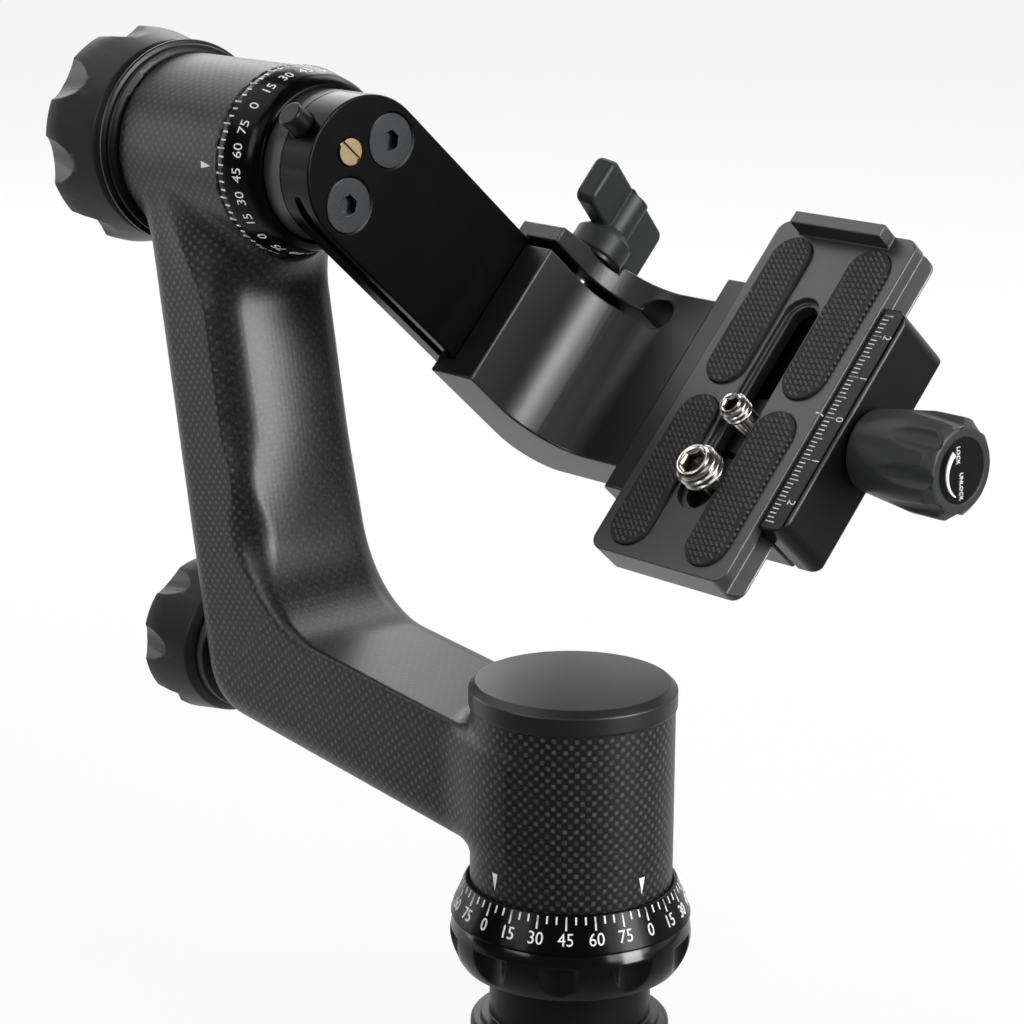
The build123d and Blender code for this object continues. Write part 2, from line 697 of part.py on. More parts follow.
def swing_plate():
    thick = PLATE_FRONT_X - PLATE_BACK_X
    body = Pos(PLATE_BACK_X, 0, 0) * extrude(plate_outline(PLATE_HALF, PLATE_END), amount=thick)
    for side in (-1, 1):
        body -= side_groove(side)
    seat = countersink(SCREW_SHANK_R, SCREW_HEAD_R, SCREW_HEAD_H, thick + EPS)
    for e in (-SCREW_E, SCREW_E):
        body -= Pos(PLATE_FRONT_X, e, -SCREW_D) * Rot(Y=90) * seat
    body -= pin_peg()
    hole = disc(BRASS_R, PLATE_FRONT_X - thick - EPS, PLATE_FRONT_X + EPS)
    body -= Pos(0, 0, -BRASS_D) * Rot(Y=90) * hole
    return swung(body)


def swing_screws():
    one = Rot(Y=90) * screw(SCREW_SHANK_R, SCREW_HEAD_R, SCREW_HEAD_H, SCREW_L, HEX_R, HEX_DEPTH, flat=True)
    return [swung(Pos(PLATE_FRONT_X - FLUSH, e, -SCREW_D) * one) for e in (-SCREW_E, SCREW_E)]


def brass_screw():
    slot = Pos(0, 0, BRASS_PROUD) * Box(3 * BRASS_R, BRASS_SLOT, 2 * BRASS_PROUD)
    body = disc(BRASS_R, -BRASS_L, BRASS_PROUD) - slot
    return swung(Pos(PLATE_FRONT_X, 0, -BRASS_D) * Rot(Y=90) * body)


# ================================================================ cradle
def leg_body():
    """Bent leg of the cradle, its slit side widening down to FLARE_END."""
    wide = LEG_E1 + LEG_FLARE
    x1 = CLAMP_X0 + EPS
    points = [(LEG_BACK_X, -LEG_START), (LEG_FRONT_X, -LEG_START), (LEG_FRONT_X, -LEG_TOP),
              (x1, -LEG_TOP), (x1, -LEG_BOTTOM), (LEG_BACK_X, -LEG_BOTTOM)]
    body = slab(points, LEG_E0, wide)
    inner = body.edges().filter_by(Axis.Y).sort_by_distance((LEG_FRONT_X, 0, -LEG_TOP))[0]
    body = fillet(inner, INNER_FILLET)
    outer = body.edges().filter_by(Axis.Y).sort_by_distance((LEG_BACK_X, 0, -LEG_BOTTOM))[0]
    body = fillet(outer, OUTER_FILLET)
    corners = [(LEG_E1, -LEG_START + EPS), (LEG_E1, -LEG_START), (wide, -FLARE_END),
               (wide + EPS, -FLARE_END), (wide + EPS, -LEG_START + EPS)]
    wedge = extrude(Plane.YZ * make_face(Polyline(*corners, close=True)), amount=CLAMP_X0 - LEG_BACK_X)
    return body - Pos(LEG_BACK_X - EPS, 0, 0) * wedge


def channel():
    """Space that the swing plate runs in, seen along d."""
    front = PLATE_FRONT_X + SEAT
    x0 = PLATE_FRONT_X - GROOVE_LAND
    half = PLATE_HALF + RUN
    tip = GROOVE_TIP + RUN
    hook = x0 - GROOVE_BEVEL - RUN
    back = LEG_BACK_X - EPS
    points = [(front, -half), (front, half), (x0 - RUN, half), (hook, tip), (back, tip),
              (back, -tip), (hook, -tip), (x0 - RUN, -half)]
    face = make_face(Polyline(*points, close=True))
    return Pos(0, 0, -LEG_BOTTOM - EPS) * extrude(face, amount=LEG_BOTTOM - LEG_START + 2 * EPS)


def clamp_floor():
    """Floor and fixed jaw under the quick-release plate."""
    x0, x1 = CLAMP_X0, JAW_X0 - JAW_SPLIT
    face = FIXED_JAW_X
    bevel = 1.2
    points = [(x0, -JAW_TOP - bevel), (x0 + bevel, -JAW_TOP), (face, -JAW_TOP),
              (face, -TIP_D + DOVETAIL - SEAT), (face + DOVETAIL, -TIP_D - SEAT / 2),
              (face, -TIP_D - DOVETAIL), (face, -FLOOR_D), (x1, -FLOOR_D), (x1, -LEG_BOTTOM),
              (x0, -LEG_BOTTOM)]
    return slab(points, -CLAMP_E, CLAMP_E)


def cradle_arm():
    body = leg_body() + clamp_floor()
    body -= channel()
    body -= block(PLATE_FRONT_X - EPS, RELIEF_X, SLIT_E - SLIT_W / 2, SLIT_E + SLIT_W / 2,
                  -LEG_BOTTOM - EPS, -LEG_START + EPS)
    body -= Pos(RELIEF_X, RELIEF_E, 0) * disc(RELIEF_R, -LEG_BOTTOM - EPS, -LEG_START)
    body -= along_e(disc(LEVER_STUD_R + RUN, LEVER_STUD_END - 1, LEG_E1 + 2 * LEG_FLARE), LEVER_X, LEVER_D)
    body -= along_e(disc(LEVER_R + 0.8, lever_seat(), lever_seat() + 9), LEVER_X, LEVER_D)
    stud_hole = Rot(Y=90) * disc(CLAMP_STUD_R, QR_X - 2, JAW_X0 + EPS)
    body -= Pos(0, 0, -CLAMP_D) * stud_hole
    for e in (-GUIDE_E, GUIDE_E):
        body -= Pos(0, e, -CLAMP_D) * Rot(Y=90) * disc(GUIDE_R, QR_X, JAW_X0 + EPS)
    return swung(body)


def lever_seat():
    """e of the flat spot that the wing lever sits on."""
    share = (LEVER_D - LEVER_R - LEG_START) / (FLARE_END - LEG_START)
    return LEG_E1 + LEG_FLARE * share - 0.3


def lever_washer():
    seat = lever_seat()
    return swung(along_e(tube(LEVER_R, LEVER_STUD_R + RUN, seat, seat + WASHER_H), LEVER_X, LEVER_D))


def clamp_stud():
    rod = disc(CLAMP_STUD_R, QR_X - 2, CLAMP_KNOB_X + 0.6 * CLAMP_KNOB_L)
    return swung(Pos(0, 0, -CLAMP_D) * Rot(Y=90) * rod)


def jaw_guide_pins():
    one = disc(GUIDE_R, QR_X, JAW_X0 + JAW_T - 1.4)
    return [swung(Pos(0, e, -CLAMP_D) * Rot(Y=90) * one) for e in (-GUIDE_E, GUIDE_E)]


# ================================================================ wing lever
def wing(out, rise, height):
    """One wing along +X from the lever's axis, with rounded free corners."""
    body = block(-LEVER_R / 2, out, -BLADE_T / 2, BLADE_T / 2 - BLADE_STEP, rise, height)
    body = fillet(body.edges().filter_by(Axis.Y).sort_by(Axis.X)[-2:], 2.2)
    return fillet(body.edges().filter_by(Axis.Z).sort_by(Axis.X)[-2:], 1.2)


def wing_lever():
    seat = lever_seat() + WASHER_H + SEAT
    top = LEVER_NECK + BLADE_H
    root = LEVER_NECK + BLADE_RISE
    body = turned([(LEVER_STUD_R, 0), (LEVER_R - 0.5, 0), (LEVER_R, 0.5), (LEVER_R, root - 1),
                   (LEVER_R - 2, root + 1), (LEVER_R - 2, top - 1), (LEVER_STUD_R, top - 1)])
    body += wing(BLADE_OUT, LEVER_NECK, top)
    body += Rot(Z=180) * wing(BLADE_OUT, root, top)
    body -= disc(LEVER_STUD_R, -EPS, top - 4)
    return swung(along_e(Rot(Z=90 + BLADE_TURN) * Pos(0, 0, seat) * body, LEVER_X, LEVER_D))


def wing_stud():
    top = lever_seat() + WASHER_H + SEAT + LEVER_NECK + BLADE_H - 4
    return swung(along_e(disc(LEVER_STUD_R, LEVER_STUD_END, top), LEVER_X, LEVER_D))


# ================================================================ moving jaw and clamp knob
def clamp_jaw():
    x0, x1 = JAW_X0, JAW_X1
    edge = 0.7
    points = [(x0, -JAW_TOP), (x1 - edge, -JAW_TOP), (x1, -JAW_TOP - edge), (x1, -LEG_BOTTOM + edge),
              (x1 - edge, -LEG_BOTTOM), (x0, -LEG_BOTTOM), (x0, -TIP_D - DOVETAIL),
              (x0 - DOVETAIL, -TIP_D - SEAT / 2), (x0, -TIP_D + DOVETAIL - SEAT)]
    body = slab(points, -CLAMP_E, CLAMP_E)
    corners = body.edges().filter_by(Axis.Z).group_by(Axis.X)[-1]
    body = fillet(corners, 3.2)
    body -= Pos(0, 0, -CLAMP_D) * Rot(Y=90) * disc(CLAMP_STUD_R + RUN, x0 - 3, x1 + EPS)
    for e in (-GUIDE_E, GUIDE_E):
        body -= Pos(0, e, -CLAMP_D) * Rot(Y=90) * disc(GUIDE_R + RUN, x0 - 3, x1 - 1.0)
    return swung(body)


def clamp_knob():
    body = fluted_knob(CLAMP_KNOB_FOOT_R, CLAMP_KNOB_R, CLAMP_KNOB_L, CLAMP_FLUTES, 0,
                       CLAMP_STUD_R + RUN, 2 * KNOB_WALL)
    body -= disc(DISC_R, -CLAMP_KNOB_L - EPS, -CLAMP_KNOB_L + DISC_T)
    return swung(Pos(CLAMP_KNOB_X, 0, -CLAMP_D) * Rot(Y=-90) * body)


def clamp_knob_disc():
    body = disc(DISC_R, -CLAMP_KNOB_L + 0.2, -CLAMP_KNOB_L + DISC_T)
    return swung(Pos(CLAMP_KNOB_X, 0, -CLAMP_D) * Rot(Y=-90) * body)


# ================================================================ quick-release plate
def stadium(half, e0, e1, z0, z1):
    """Round-ended bar along e, drawn hanging."""
    body = block(QR_X - half, QR_X + half, e0 + half, e1 - half, z0, z1)
    for e in (e0 + half, e1 - half):
        body += Pos(QR_X, e, 0) * disc(half, z0, z1)
    return body


def plate_section():
    mid = QR_LAND + DOVETAIL
    right = [(QR_HALF, 0), (QR_HALF, QR_LAND), (QR_HALF - DOVETAIL, mid), (QR_HALF, mid + DOVETAIL),
             (QR_HALF, QR_T)]
    return right + [(-x, t) for x, t in reversed(right)]


def quick_release_plate():
    body = slab([(QR_X + x, -QR_TOP - t) for x, t in plate_section()], QR_E0, QR_E1)
    frame = block(QR_X0, QR_X1, QR_E0, QR_E1, -QR_BOTTOM, -QR_TOP)
    body &= fillet(frame.edges().filter_by(Axis.Z), QR_CORNER)
    body += block(QR_X - LIP_HALF, QR_X + LIP_HALF, QR_E1 - LIP_T, QR_E1, -QR_TOP - EPS, -QR_TOP + LIP_H)
    body -= stadium(SLOT_HALF, SLOT_E0, SLOT_E1, -QR_BOTTOM - EPS, -QR_TOP + EPS)
    body -= stadium(SLOT_LEDGE, SLOT_E0 - 1.2, SLOT_E1 + 1.2, -QR_TOP - SLOT_LEDGE_T, -QR_TOP + EPS)
    well = HEAD_WELL_HALF
    body -= stadium(well, SLOT_E0 - 4, SLOT_E1 + 4, -QR_BOTTOM - EPS, -QR_BOTTOM + HEAD_WELL_T)
    for pocket in pad_bars(PAD_HALF, -PAD_POCKET, EPS):
        body -= pocket
    for e in (-SAFETY_E, SAFETY_E):
        body -= Pos(QR_X, e, 0) * disc(SAFETY_SHANK_R, -QR_BOTTOM - EPS, -QR_BOTTOM + SAFETY_L + 0.4)
    return swung(body)


def pad_bars(half, z0, z1):
    bars = []
    for x in (-PAD_X, PAD_X):
        for e in PAD_E:
            bar = stadium(half, e - PAD_L / 2, e + PAD_L / 2, -QR_TOP + z0, -QR_TOP + z1)
            bars.append(Pos(x, 0, 0) * bar)
    return bars


def plate_pads():
    return [swung(bar) for bar in pad_bars(PAD_HALF - RUN, -PAD_POCKET, PAD_PROUD)]


def safety_screws():
    head = disc(SAFETY_R, -QR_BOTTOM - SAFETY_PROUD, -QR_BOTTOM)
    one = head + disc(SAFETY_SHANK_R, -QR_BOTTOM - SAFETY_PROUD / 2, -QR_BOTTOM + SAFETY_L)
    return [swung(Pos(QR_X, e, 0) * one) for e in (-SAFETY_E, SAFETY_E)]


def camera_screw(e, thread_r, proud):
    """Captive screw: thread above the plate, neck through the slot, flat head in the well."""
    head_z = -QR_BOTTOM + HEAD_WELL_T - WASHER_T - SEAT
    body = disc(SHANK_R, head_z - 0.1, -QR_TOP + 0.4) + disc(thread_r, -QR_TOP + 0.3, -QR_TOP + proud)
    head = disc(HEAD_R, head_z - HEAD_T, head_z) - Pos(0, 0, head_z - HEAD_T) * Box(2 * HEAD_R + 1, 1.3, 1.6)
    return swung(Pos(QR_X, e, 0) * (body + head))


def screw_washer(e):
    z1 = -QR_BOTTOM + HEAD_WELL_T - SEAT / 2
    return swung(Pos(QR_X, e, 0) * tube(WASHER_HALF - 1.2, SHANK_R + RUN, z1 - WASHER_T + SEAT, z1))


# ================================================================ output
NODES = {
    "base_plate": base_plate(),
    "base_screws": base_screws(),
    "grip_ring": grip_ring(),
    "pan_scale_ring": pan_scale_ring(),
    "scale_ring_screws": scale_ring_screws(),
    "pan_spindle": pan_spindle(),
    "pan_bearing_inner_races": [bearing_race_inner(z) for z in (LOWER_BEARING, UPPER_BEARING)],
    "pan_lock_nut": pan_lock_nut(),
    "carbon_arm": carbon_arm(),
    "column_sleeve": column_sleeve(),
    "column_cap": column_cap(),
    "pan_bearing_outer_races": [bearing_race_outer(z) for z in (LOWER_BEARING, UPPER_BEARING)],
    "pan_bearing_balls": bearing_balls(LOWER_BEARING) + bearing_balls(UPPER_BEARING),
    "hub_sleeve": hub_sleeve(),
    "tilt_bearing_outer_races": [on_hub(bearing_race_outer(x)) for x in hub_bearing_places()],
    "tilt_bearing_balls": [on_hub(ball) for x in hub_bearing_places() for ball in bearing_balls(x)],
    "tilt_collar": tilt_collar(),
    "tilt_thrust_washer": tilt_thrust_washer(),
    "pan_lock_bush": pan_lock_bush(),
    "brake_shoe": brake_shoe(),
    "brake_push_rod": brake_push_rod(),
    "pan_knob": pan_knob(),
    "pan_knob_core": pan_knob_core(),
    "tilt_knob": tilt_knob(),
    "tilt_knob_core": tilt_knob_core(),
    "tilt_spindle": tilt_spindle(),
    "tilt_bearing_inner_races": [on_hub(bearing_race_inner(x)) for x in hub_bearing_places()],
    "tilt_scale_ring": tilt_scale_ring(),
    "stop_pin": stop_pin(),
    "swing_plate": swing_plate(),
    "swing_screws": swing_screws(),
    "brass_screw": brass_screw(),
    "cradle_arm": cradle_arm(),
    "lever_washer": lever_washer(),
    "clamp_stud": clamp_stud(),
    "jaw_guide_pins": jaw_guide_pins(),
    "wing_lever": wing_lever(),
    "wing_stud": wing_stud(),
    "clamp_jaw": clamp_jaw(),
    "clamp_knob": clamp_knob(),
    "clamp_knob_disc": clamp_knob_disc(),
    "quick_release_plate": quick_release_plate(),
    "plate_pads": plate_pads(),
    "safety_screws": safety_screws(),
    "large_screw_washer": screw_washer(BIG_E),
    "camera_screw_large": camera_screw(BIG_E, BIG_R, BIG_PROUD),
    "small_screw_washer": screw_washer(SMALL_E),
    "camera_screw_small": camera_screw(SMALL_E, SMALL_R, SMALL_PROUD),
}


def write(name, shape):
    if isinstance(shape, list):
        shape = Compound(children=[solid for item in shape for solid in item.solids()])
    export_step(shape, "parts/" + name + ".step")


os.makedirs("parts", exist_ok=True)
for node, made in NODES.items():
    write(node, made)
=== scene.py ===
"""Gimbal tripod head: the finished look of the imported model."""
import json
import math

import bmesh
import bpy
import numpy as np
from mathutils import Matrix, Vector


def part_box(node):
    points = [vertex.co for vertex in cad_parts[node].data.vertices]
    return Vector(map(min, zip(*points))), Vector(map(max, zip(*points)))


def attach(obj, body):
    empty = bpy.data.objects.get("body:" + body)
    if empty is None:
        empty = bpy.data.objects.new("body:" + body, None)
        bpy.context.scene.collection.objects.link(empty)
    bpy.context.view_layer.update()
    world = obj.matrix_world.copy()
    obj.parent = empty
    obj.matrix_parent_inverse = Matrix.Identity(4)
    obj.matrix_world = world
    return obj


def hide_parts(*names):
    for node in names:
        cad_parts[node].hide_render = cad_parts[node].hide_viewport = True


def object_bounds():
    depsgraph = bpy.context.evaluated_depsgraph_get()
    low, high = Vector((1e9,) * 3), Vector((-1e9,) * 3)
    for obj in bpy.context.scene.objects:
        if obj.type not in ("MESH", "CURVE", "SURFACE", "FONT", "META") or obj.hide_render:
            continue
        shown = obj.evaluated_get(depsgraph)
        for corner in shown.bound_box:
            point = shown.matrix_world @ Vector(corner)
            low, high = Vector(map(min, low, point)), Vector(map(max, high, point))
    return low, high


bl_info = {
    "name": "Gimbal tripod head",
    "version": (1, 0, 0),
    "blender": (4, 5, 0),
    "location": "View3D > Sidebar > Gimbal head",
    "description": "Dresses the gimbal head: arm, knobs, dials, pads, screws and stage",
    "category": "Object",
}

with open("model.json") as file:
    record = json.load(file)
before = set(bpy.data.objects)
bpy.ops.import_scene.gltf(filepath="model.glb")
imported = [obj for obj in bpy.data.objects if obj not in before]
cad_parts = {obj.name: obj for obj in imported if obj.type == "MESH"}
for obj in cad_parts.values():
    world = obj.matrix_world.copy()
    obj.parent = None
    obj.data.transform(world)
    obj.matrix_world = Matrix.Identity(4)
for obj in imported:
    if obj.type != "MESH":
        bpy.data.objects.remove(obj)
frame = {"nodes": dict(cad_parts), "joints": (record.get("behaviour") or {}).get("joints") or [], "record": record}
CAD_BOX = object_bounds()
MM = 0.001

# ======== places read from the model
JOINTS = {joint["name"]: joint for joint in frame["joints"]}
HUB_Z = JOINTS["tilt"]["pos_m"][2] / MM
DOWN = Vector(JOINTS["cradle_slide"]["axis"]).normalized()      # down the swing plate
ALONG = Vector(JOINTS["plate_slide"]["axis"]).normalized()      # along the camera plate
X_AXIS = Vector((1.0, 0.0, 0.0))
Z_AXIS = Vector((0.0, 0.0, 1.0))


def top_of(node):
    """Height of a node's highest point, in millimetres."""
    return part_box(node)[1][2] / MM


def swing_point(x, d, e):
    """A place in the swing's own directions, as metres in the model."""
    return (X_AXIS * x + DOWN * d + ALONG * e + Z_AXIS * HUB_Z) * MM


# ======== sizes and colours that may be changed
class GimbalSizes(bpy.types.PropertyGroup):
    """Sizes of the detail that is made here."""
    arm_grid: bpy.props.FloatProperty(
        name="Arm mesh size", description="Length of one mesh face on the carbon arm",
        default=1.0 * MM, unit="LENGTH")
    arm_crown: bpy.props.FloatProperty(
        name="Arm crown", description="How far the inner face of the arm bulges",
        default=3.0 * MM, unit="LENGTH")
    arm_drop: bpy.props.FloatProperty(
        name="Arm edge drop", description="How far the crowned face falls back at its two edges",
        default=1.9 * MM, unit="LENGTH")
    arm_blend: bpy.props.FloatProperty(
        name="Arm blend", description="Softness where the limb runs into the column and the hub",
        default=7.0 * MM, unit="LENGTH")
    edge_break: bpy.props.FloatProperty(
        name="Edge break", description="Width of the small chamfer on metal edges",
        default=0.25 * MM, unit="LENGTH")
    tick_height: bpy.props.FloatProperty(
        name="Paint thickness", description="How far the printed marks stand proud",
        default=0.03 * MM, unit="LENGTH")
    large_pitch: bpy.props.FloatProperty(
        name="Large thread pitch", description="Pitch of the 3/8 inch camera screw",
        default=1.5875 * MM, unit="LENGTH")
    small_pitch: bpy.props.FloatProperty(
        name="Small thread pitch", description="Pitch of the 1/4 inch camera screw",
        default=1.27 * MM, unit="LENGTH")
    pad_rib: bpy.props.FloatProperty(
        name="Pad rib length", description="Length of one raised rib on the rubber pads",
        default=1.6 * MM, unit="LENGTH")
    pad_pitch: bpy.props.FloatProperty(
        name="Pad rib spacing", description="Distance between two rows of ribs on the rubber pads",
        default=0.95 * MM, unit="LENGTH")
    weave_pitch: bpy.props.FloatProperty(
        name="Carbon tow width", description="Width of one tow in the carbon cloth",
        default=1.15 * MM, unit="LENGTH")


class GimbalFinish(bpy.types.PropertyGroup):
    """Colours of the finishes."""
    anodised: bpy.props.FloatVectorProperty(
        name="Anodised black", description="Satin black of the turned and milled parts",
        default=(0.0042, 0.0042, 0.0044), subtype="COLOR")
    cradle: bpy.props.FloatVectorProperty(
        name="Cradle black", description="Brushed black of the cradle",
        default=(0.009, 0.0092, 0.0095), subtype="COLOR")
    tow: bpy.props.FloatVectorProperty(
        name="Carbon tow", description="Colour of the carbon tows",
        default=(0.011, 0.011, 0.0115), subtype="COLOR")
    grip: bpy.props.FloatVectorProperty(
        name="Knob grip", description="Soft coating of the knobs",
        default=(0.015, 0.0155, 0.016), subtype="COLOR")
    pad: bpy.props.FloatVectorProperty(
        name="Pad rubber", description="Rubber of the four pads on the plate",
        default=(0.030, 0.030, 0.030), subtype="COLOR")
    paint: bpy.props.FloatVectorProperty(
        name="White paint", description="Marks on the dials and scales",
        default=(0.92, 0.92, 0.90), subtype="COLOR")


def sizes():
    return bpy.context.scene.gimbal_sizes


def finish_colours():
    return bpy.context.scene.gimbal_finish


# ======== node helpers
class Tree:
    """Adds nodes to a node tree and links them."""

    def __init__(self, tree):
        self.tree = tree

    def add(self, kind, settings=None, **values):
        node = self.tree.nodes.new(kind)
        for key, value in (settings or {}).items():
            setattr(node, key, value)
        for key, value in values.items():
            self.put(node, key, value)
        return node

    def put(self, node, key, value):
        """Sets or links one input, found by its name, or by in_ and its number."""
        if key.startswith("in_"):
            socket = node.inputs[int(key[3:])]
        else:
            socket = node.inputs[key.replace("_", " ")]
        if isinstance(value, bpy.types.NodeSocket):
            self.tree.links.new(value, socket)
        else:
            socket.default_value = value

    def math(self, operation, a, b=0.0, c=0.0):
        node = self.add("ShaderNodeMath", {"operation": operation}, in_0=a, in_1=b, in_2=c)
        return node.outputs[0]

    def plus(self, a, b):
        return self.math("ADD", a, b)

    def minus(self, a, b):
        return self.math("SUBTRACT", a, b)

    def times(self, a, b):
        return self.math("MULTIPLY", a, b)

    def vector(self, x=0.0, y=0.0, z=0.0):
        return self.add("ShaderNodeCombineXYZ", X=x, Y=y, Z=z).outputs[0]

    def split(self, vector):
        return self.add("ShaderNodeSeparateXYZ", Vector=vector).outputs

    def place(self):
        """Where a point lies on the piece, in the piece's own coordinates."""
        return self.add("ShaderNodeTexCoord").outputs["Object"]

    def noise(self, vector, scale, detail=2.0):
        return self.add("ShaderNodeTexNoise", Vector=vector, Scale=scale, Detail=detail).outputs[0]

    def attribute(self, name):
        return self.add("ShaderNodeAttribute", {"attribute_name": name}).outputs["Fac"]

    def mix(self, factor, a, b):
        node = self.add("ShaderNodeMix", {"data_type": "RGBA"})
        for index, value in ((0, factor), (6, a), (7, b)):
            self.put(node, f"in_{index}", value)
        return node.outputs[2]

    def ramp(self, value, low, high, to_low=0.0, to_high=1.0):
        node = self.add("ShaderNodeMapRange", in_0=value, in_1=low, in_2=high, in_3=to_low,
                        in_4=to_high)
        return node.outputs[0]

    def group(self, name, builder, **values):
        """Places a shared shader group, which is built the first time that it is used."""
        shared = bpy.data.node_groups.get(name) or builder(name)
        return self.add("ShaderNodeGroup", {"node_tree": shared}, **values)


def rgba(colour, gain=1.0):
    return (*[min(channel * gain, 1.0) for channel in colour], 1.0)


FLOAT, COLOR, VECTOR = "NodeSocketFloat", "NodeSocketColor", "NodeSocketVector"
COUNT, MATERIAL, GEOMETRY = "NodeSocketInt", "NodeSocketMaterial", "NodeSocketGeometry"


def new_tree(kind, name, inputs, outputs):
    """An empty node tree with its sockets; gives what adds its nodes, and its inputs."""
    tree = bpy.data.node_groups.new(name, kind)
    for label, socket_type, default in inputs:
        socket = tree.interface.new_socket(name=label, in_out="INPUT", socket_type=socket_type)
        if default is not None:
            socket.default_value = default
    for label, socket_type in outputs:
        tree.interface.new_socket(name=label, in_out="OUTPUT", socket_type=socket_type)
    make = Tree(tree)
    return make, make.add("NodeGroupInput").outputs


BLOTCHES = 90.0         # broad noise per metre, under the fine grain
FINE_SHARE = 0.6        # how much of the unevenness is the fine grain


def grain_group(name):
    """Fine blasted or moulded grain: a colour, a roughness and a height that vary."""
    make, given = new_tree(
        "ShaderNodeTree", name,
        [("Vector", VECTOR, None), ("Color", COLOR, (0.02, 0.02, 0.02, 1.0)),
         ("Grains per metre", FLOAT, 4000.0), ("Tint", FLOAT, 0.15), ("Roughness", FLOAT, 0.4),
         ("Roughness spread", FLOAT, 0.08)],
        [("Color", COLOR), ("Roughness", FLOAT), ("Height", FLOAT)])
    fine = make.noise(given["Vector"], given["Grains per metre"])
    broad = make.noise(given["Vector"], BLOTCHES, 3.0)
    both = make.plus(make.times(fine, FINE_SHARE), make.times(broad, 1.0 - FINE_SHARE))
    swing = make.times(make.minus(both, 0.5), 2.0)
    bright = make.plus(make.times(swing, given["Tint"]), 1.0)
    tinted = make.add("ShaderNodeVectorMath", {"operation": "SCALE"}, in_0=given["Color"],
                      Scale=bright)
    rough = make.plus(make.times(swing, given["Roughness spread"]), given["Roughness"])
    make.add("NodeGroupOutput", Color=tinted.outputs[0], Roughness=rough, Height=fine)
    return make.tree


def brushed_group(name):
    """Long fine scratches along one axis of the given vector."""
    make, given = new_tree(
        "ShaderNodeTree", name,
        [("Vector", VECTOR, None), ("Lines per metre", FLOAT, 6000.0), ("Stretch", FLOAT, 0.03)],
        [("Lines", FLOAT)])
    x, y, z = make.split(given["Vector"])
    drawn = make.vector(make.times(x, given["Stretch"]), y, z)
    make.add("NodeGroupOutput", Lines=make.noise(drawn, given["Lines per metre"], 1.0))
    return make.tree


def weave_group(name):
    """Plain-woven cloth on a flat map: where the warp is on top, and how high each tow stands."""
    make, given = new_tree(
        "ShaderNodeTree", name, [("Vector", VECTOR, None), ("Tows per metre", FLOAT, 900.0)],
        [("Warp on top", FLOAT), ("Height", FLOAT)])
    x, y, _ = make.split(given["Vector"])
    across, along = (make.times(value, given["Tows per metre"]) for value in (x, y))
    step = make.plus(make.math("FLOOR", across), make.math("FLOOR", along))
    warp = make.math("LESS_THAN", make.math("FLOORED_MODULO", step, 2.0), 1.0)

    def bulge(value):
        inside = make.minus(make.math("FRACT", value), 0.5)
        return make.minus(1.0, make.times(make.times(inside, inside), 4.0))

    dome = make.times(bulge(across), bulge(along))
    make.add("NodeGroupOutput", Warp_on_top=make.times(warp, dome), Height=dome)
    return make.tree


# ======== materials
def new_material(name):
    """A new material with what adds its nodes, and its Principled shader."""
    made = bpy.data.materials.new(name)
    made.use_nodes = True
    return made, Tree(made.node_tree), made.node_tree.nodes["Principled BSDF"]


def satin(name, colour, roughness, specular, edge=0.3, metallic=0.0, tint=0.15, bump=0.05,
          grains=4000.0, spread=0.06, lines=0.0, stretch=0.03):
    """A satin finish with fine grain, soft edges (in mm) and, where asked, brushed lines."""
    made, make, shader = new_material(name)
    place = make.place()
    grain = make.group("Fine grain", grain_group, Vector=place, Color=rgba(colour),
                       Grains_per_metre=grains, Tint=tint, Roughness=roughness,
                       Roughness_spread=spread)
    height = grain.outputs["Height"]
    if lines:
        brushed = make.group("Brushed lines", brushed_group, Vector=place, Lines_per_metre=lines,
                             Stretch=stretch)
        height = make.plus(height, make.times(brushed.outputs[0], 2.0))
    soft = make.add("ShaderNodeBevel", {"samples": 4}, Radius=edge * MM).outputs[0]
    normal = make.add("ShaderNodeBump", Strength=bump, Distance=0.02 * MM, Height=height,
                      Normal=soft)
    for key, value in (
            ("Base Color", grain.outputs["Color"]), ("Roughness", grain.outputs["Roughness"]),
            ("Normal", normal.outputs[0]), ("Metallic", metallic),
            ("Specular IOR Level", specular)):
        make.put(shader, key, value)
    return made


FLECKS = (1500.0, 0.35, 0.65)       # noise per metre, and where it is dark and where light
FLECKED = 0.65          # how much of a tow's brightness the flecks take
IN_RESIN = 0.2          # how bright they are in bare resin
DARKEST, LIGHTEST = 0.35, 8.0       # ends of the cloth's colour, times the tow's; the light end is the painted sheen of the warp tows


def flecked(make, per_metre, low, high):
    """Noise over the piece, from 0 to 1."""
    return make.ramp(make.noise(make.place(), per_metre), low, high)


def carbon_material():
    """Woven carbon cloth under a satin lacquer, with bare resin where no weave shows, and warp tows painted
    lighter as a painted sheen.
    """
    tow = finish_colours().tow
    made, make, shader = new_material("Carbon cloth under lacquer")
    cloth = make.group("Carbon cloth", weave_group, Tows_per_metre=1.0 / sizes().weave_pitch,
                       Vector=make.add("ShaderNodeUVMap", {"uv_map": "cloth"}).outputs[0])
    flecks = flecked(make, *FLECKS)
    shown = make.attribute("weave")
    bright = make.plus(1.0 - FLECKED, make.times(flecks, FLECKED))
    # painted sheen: where the warp is on top the tow is painted lighter, brightest at its crown, in place of the
    # light off the fibres
    woven = make.times(cloth.outputs["Warp on top"], bright)
    resin = make.times(make.minus(1.0, shown), make.times(flecks, IN_RESIN))
    sheen_and_flecks = make.plus(make.times(woven, shown), resin)
    bump = make.add("ShaderNodeBump", Strength=0.16, Distance=0.05 * MM,
                    Height=cloth.outputs["Height"])
    for key, value in (
            ("Base Color", make.mix(sheen_and_flecks, rgba(tow, DARKEST), rgba(tow, LIGHTEST))),
            ("Roughness", make.ramp(shown, 0.2, 1.0, 0.36, 0.42)),
            ("Normal", bump.outputs[0]), ("Specular IOR Level", 0.30)):
        make.put(shader, key, value)
    return made


WORN = (2500.0, 0.35, 0.6)          # noise per metre, and where the ink is worn and where full
WORN_GAIN = 0.8


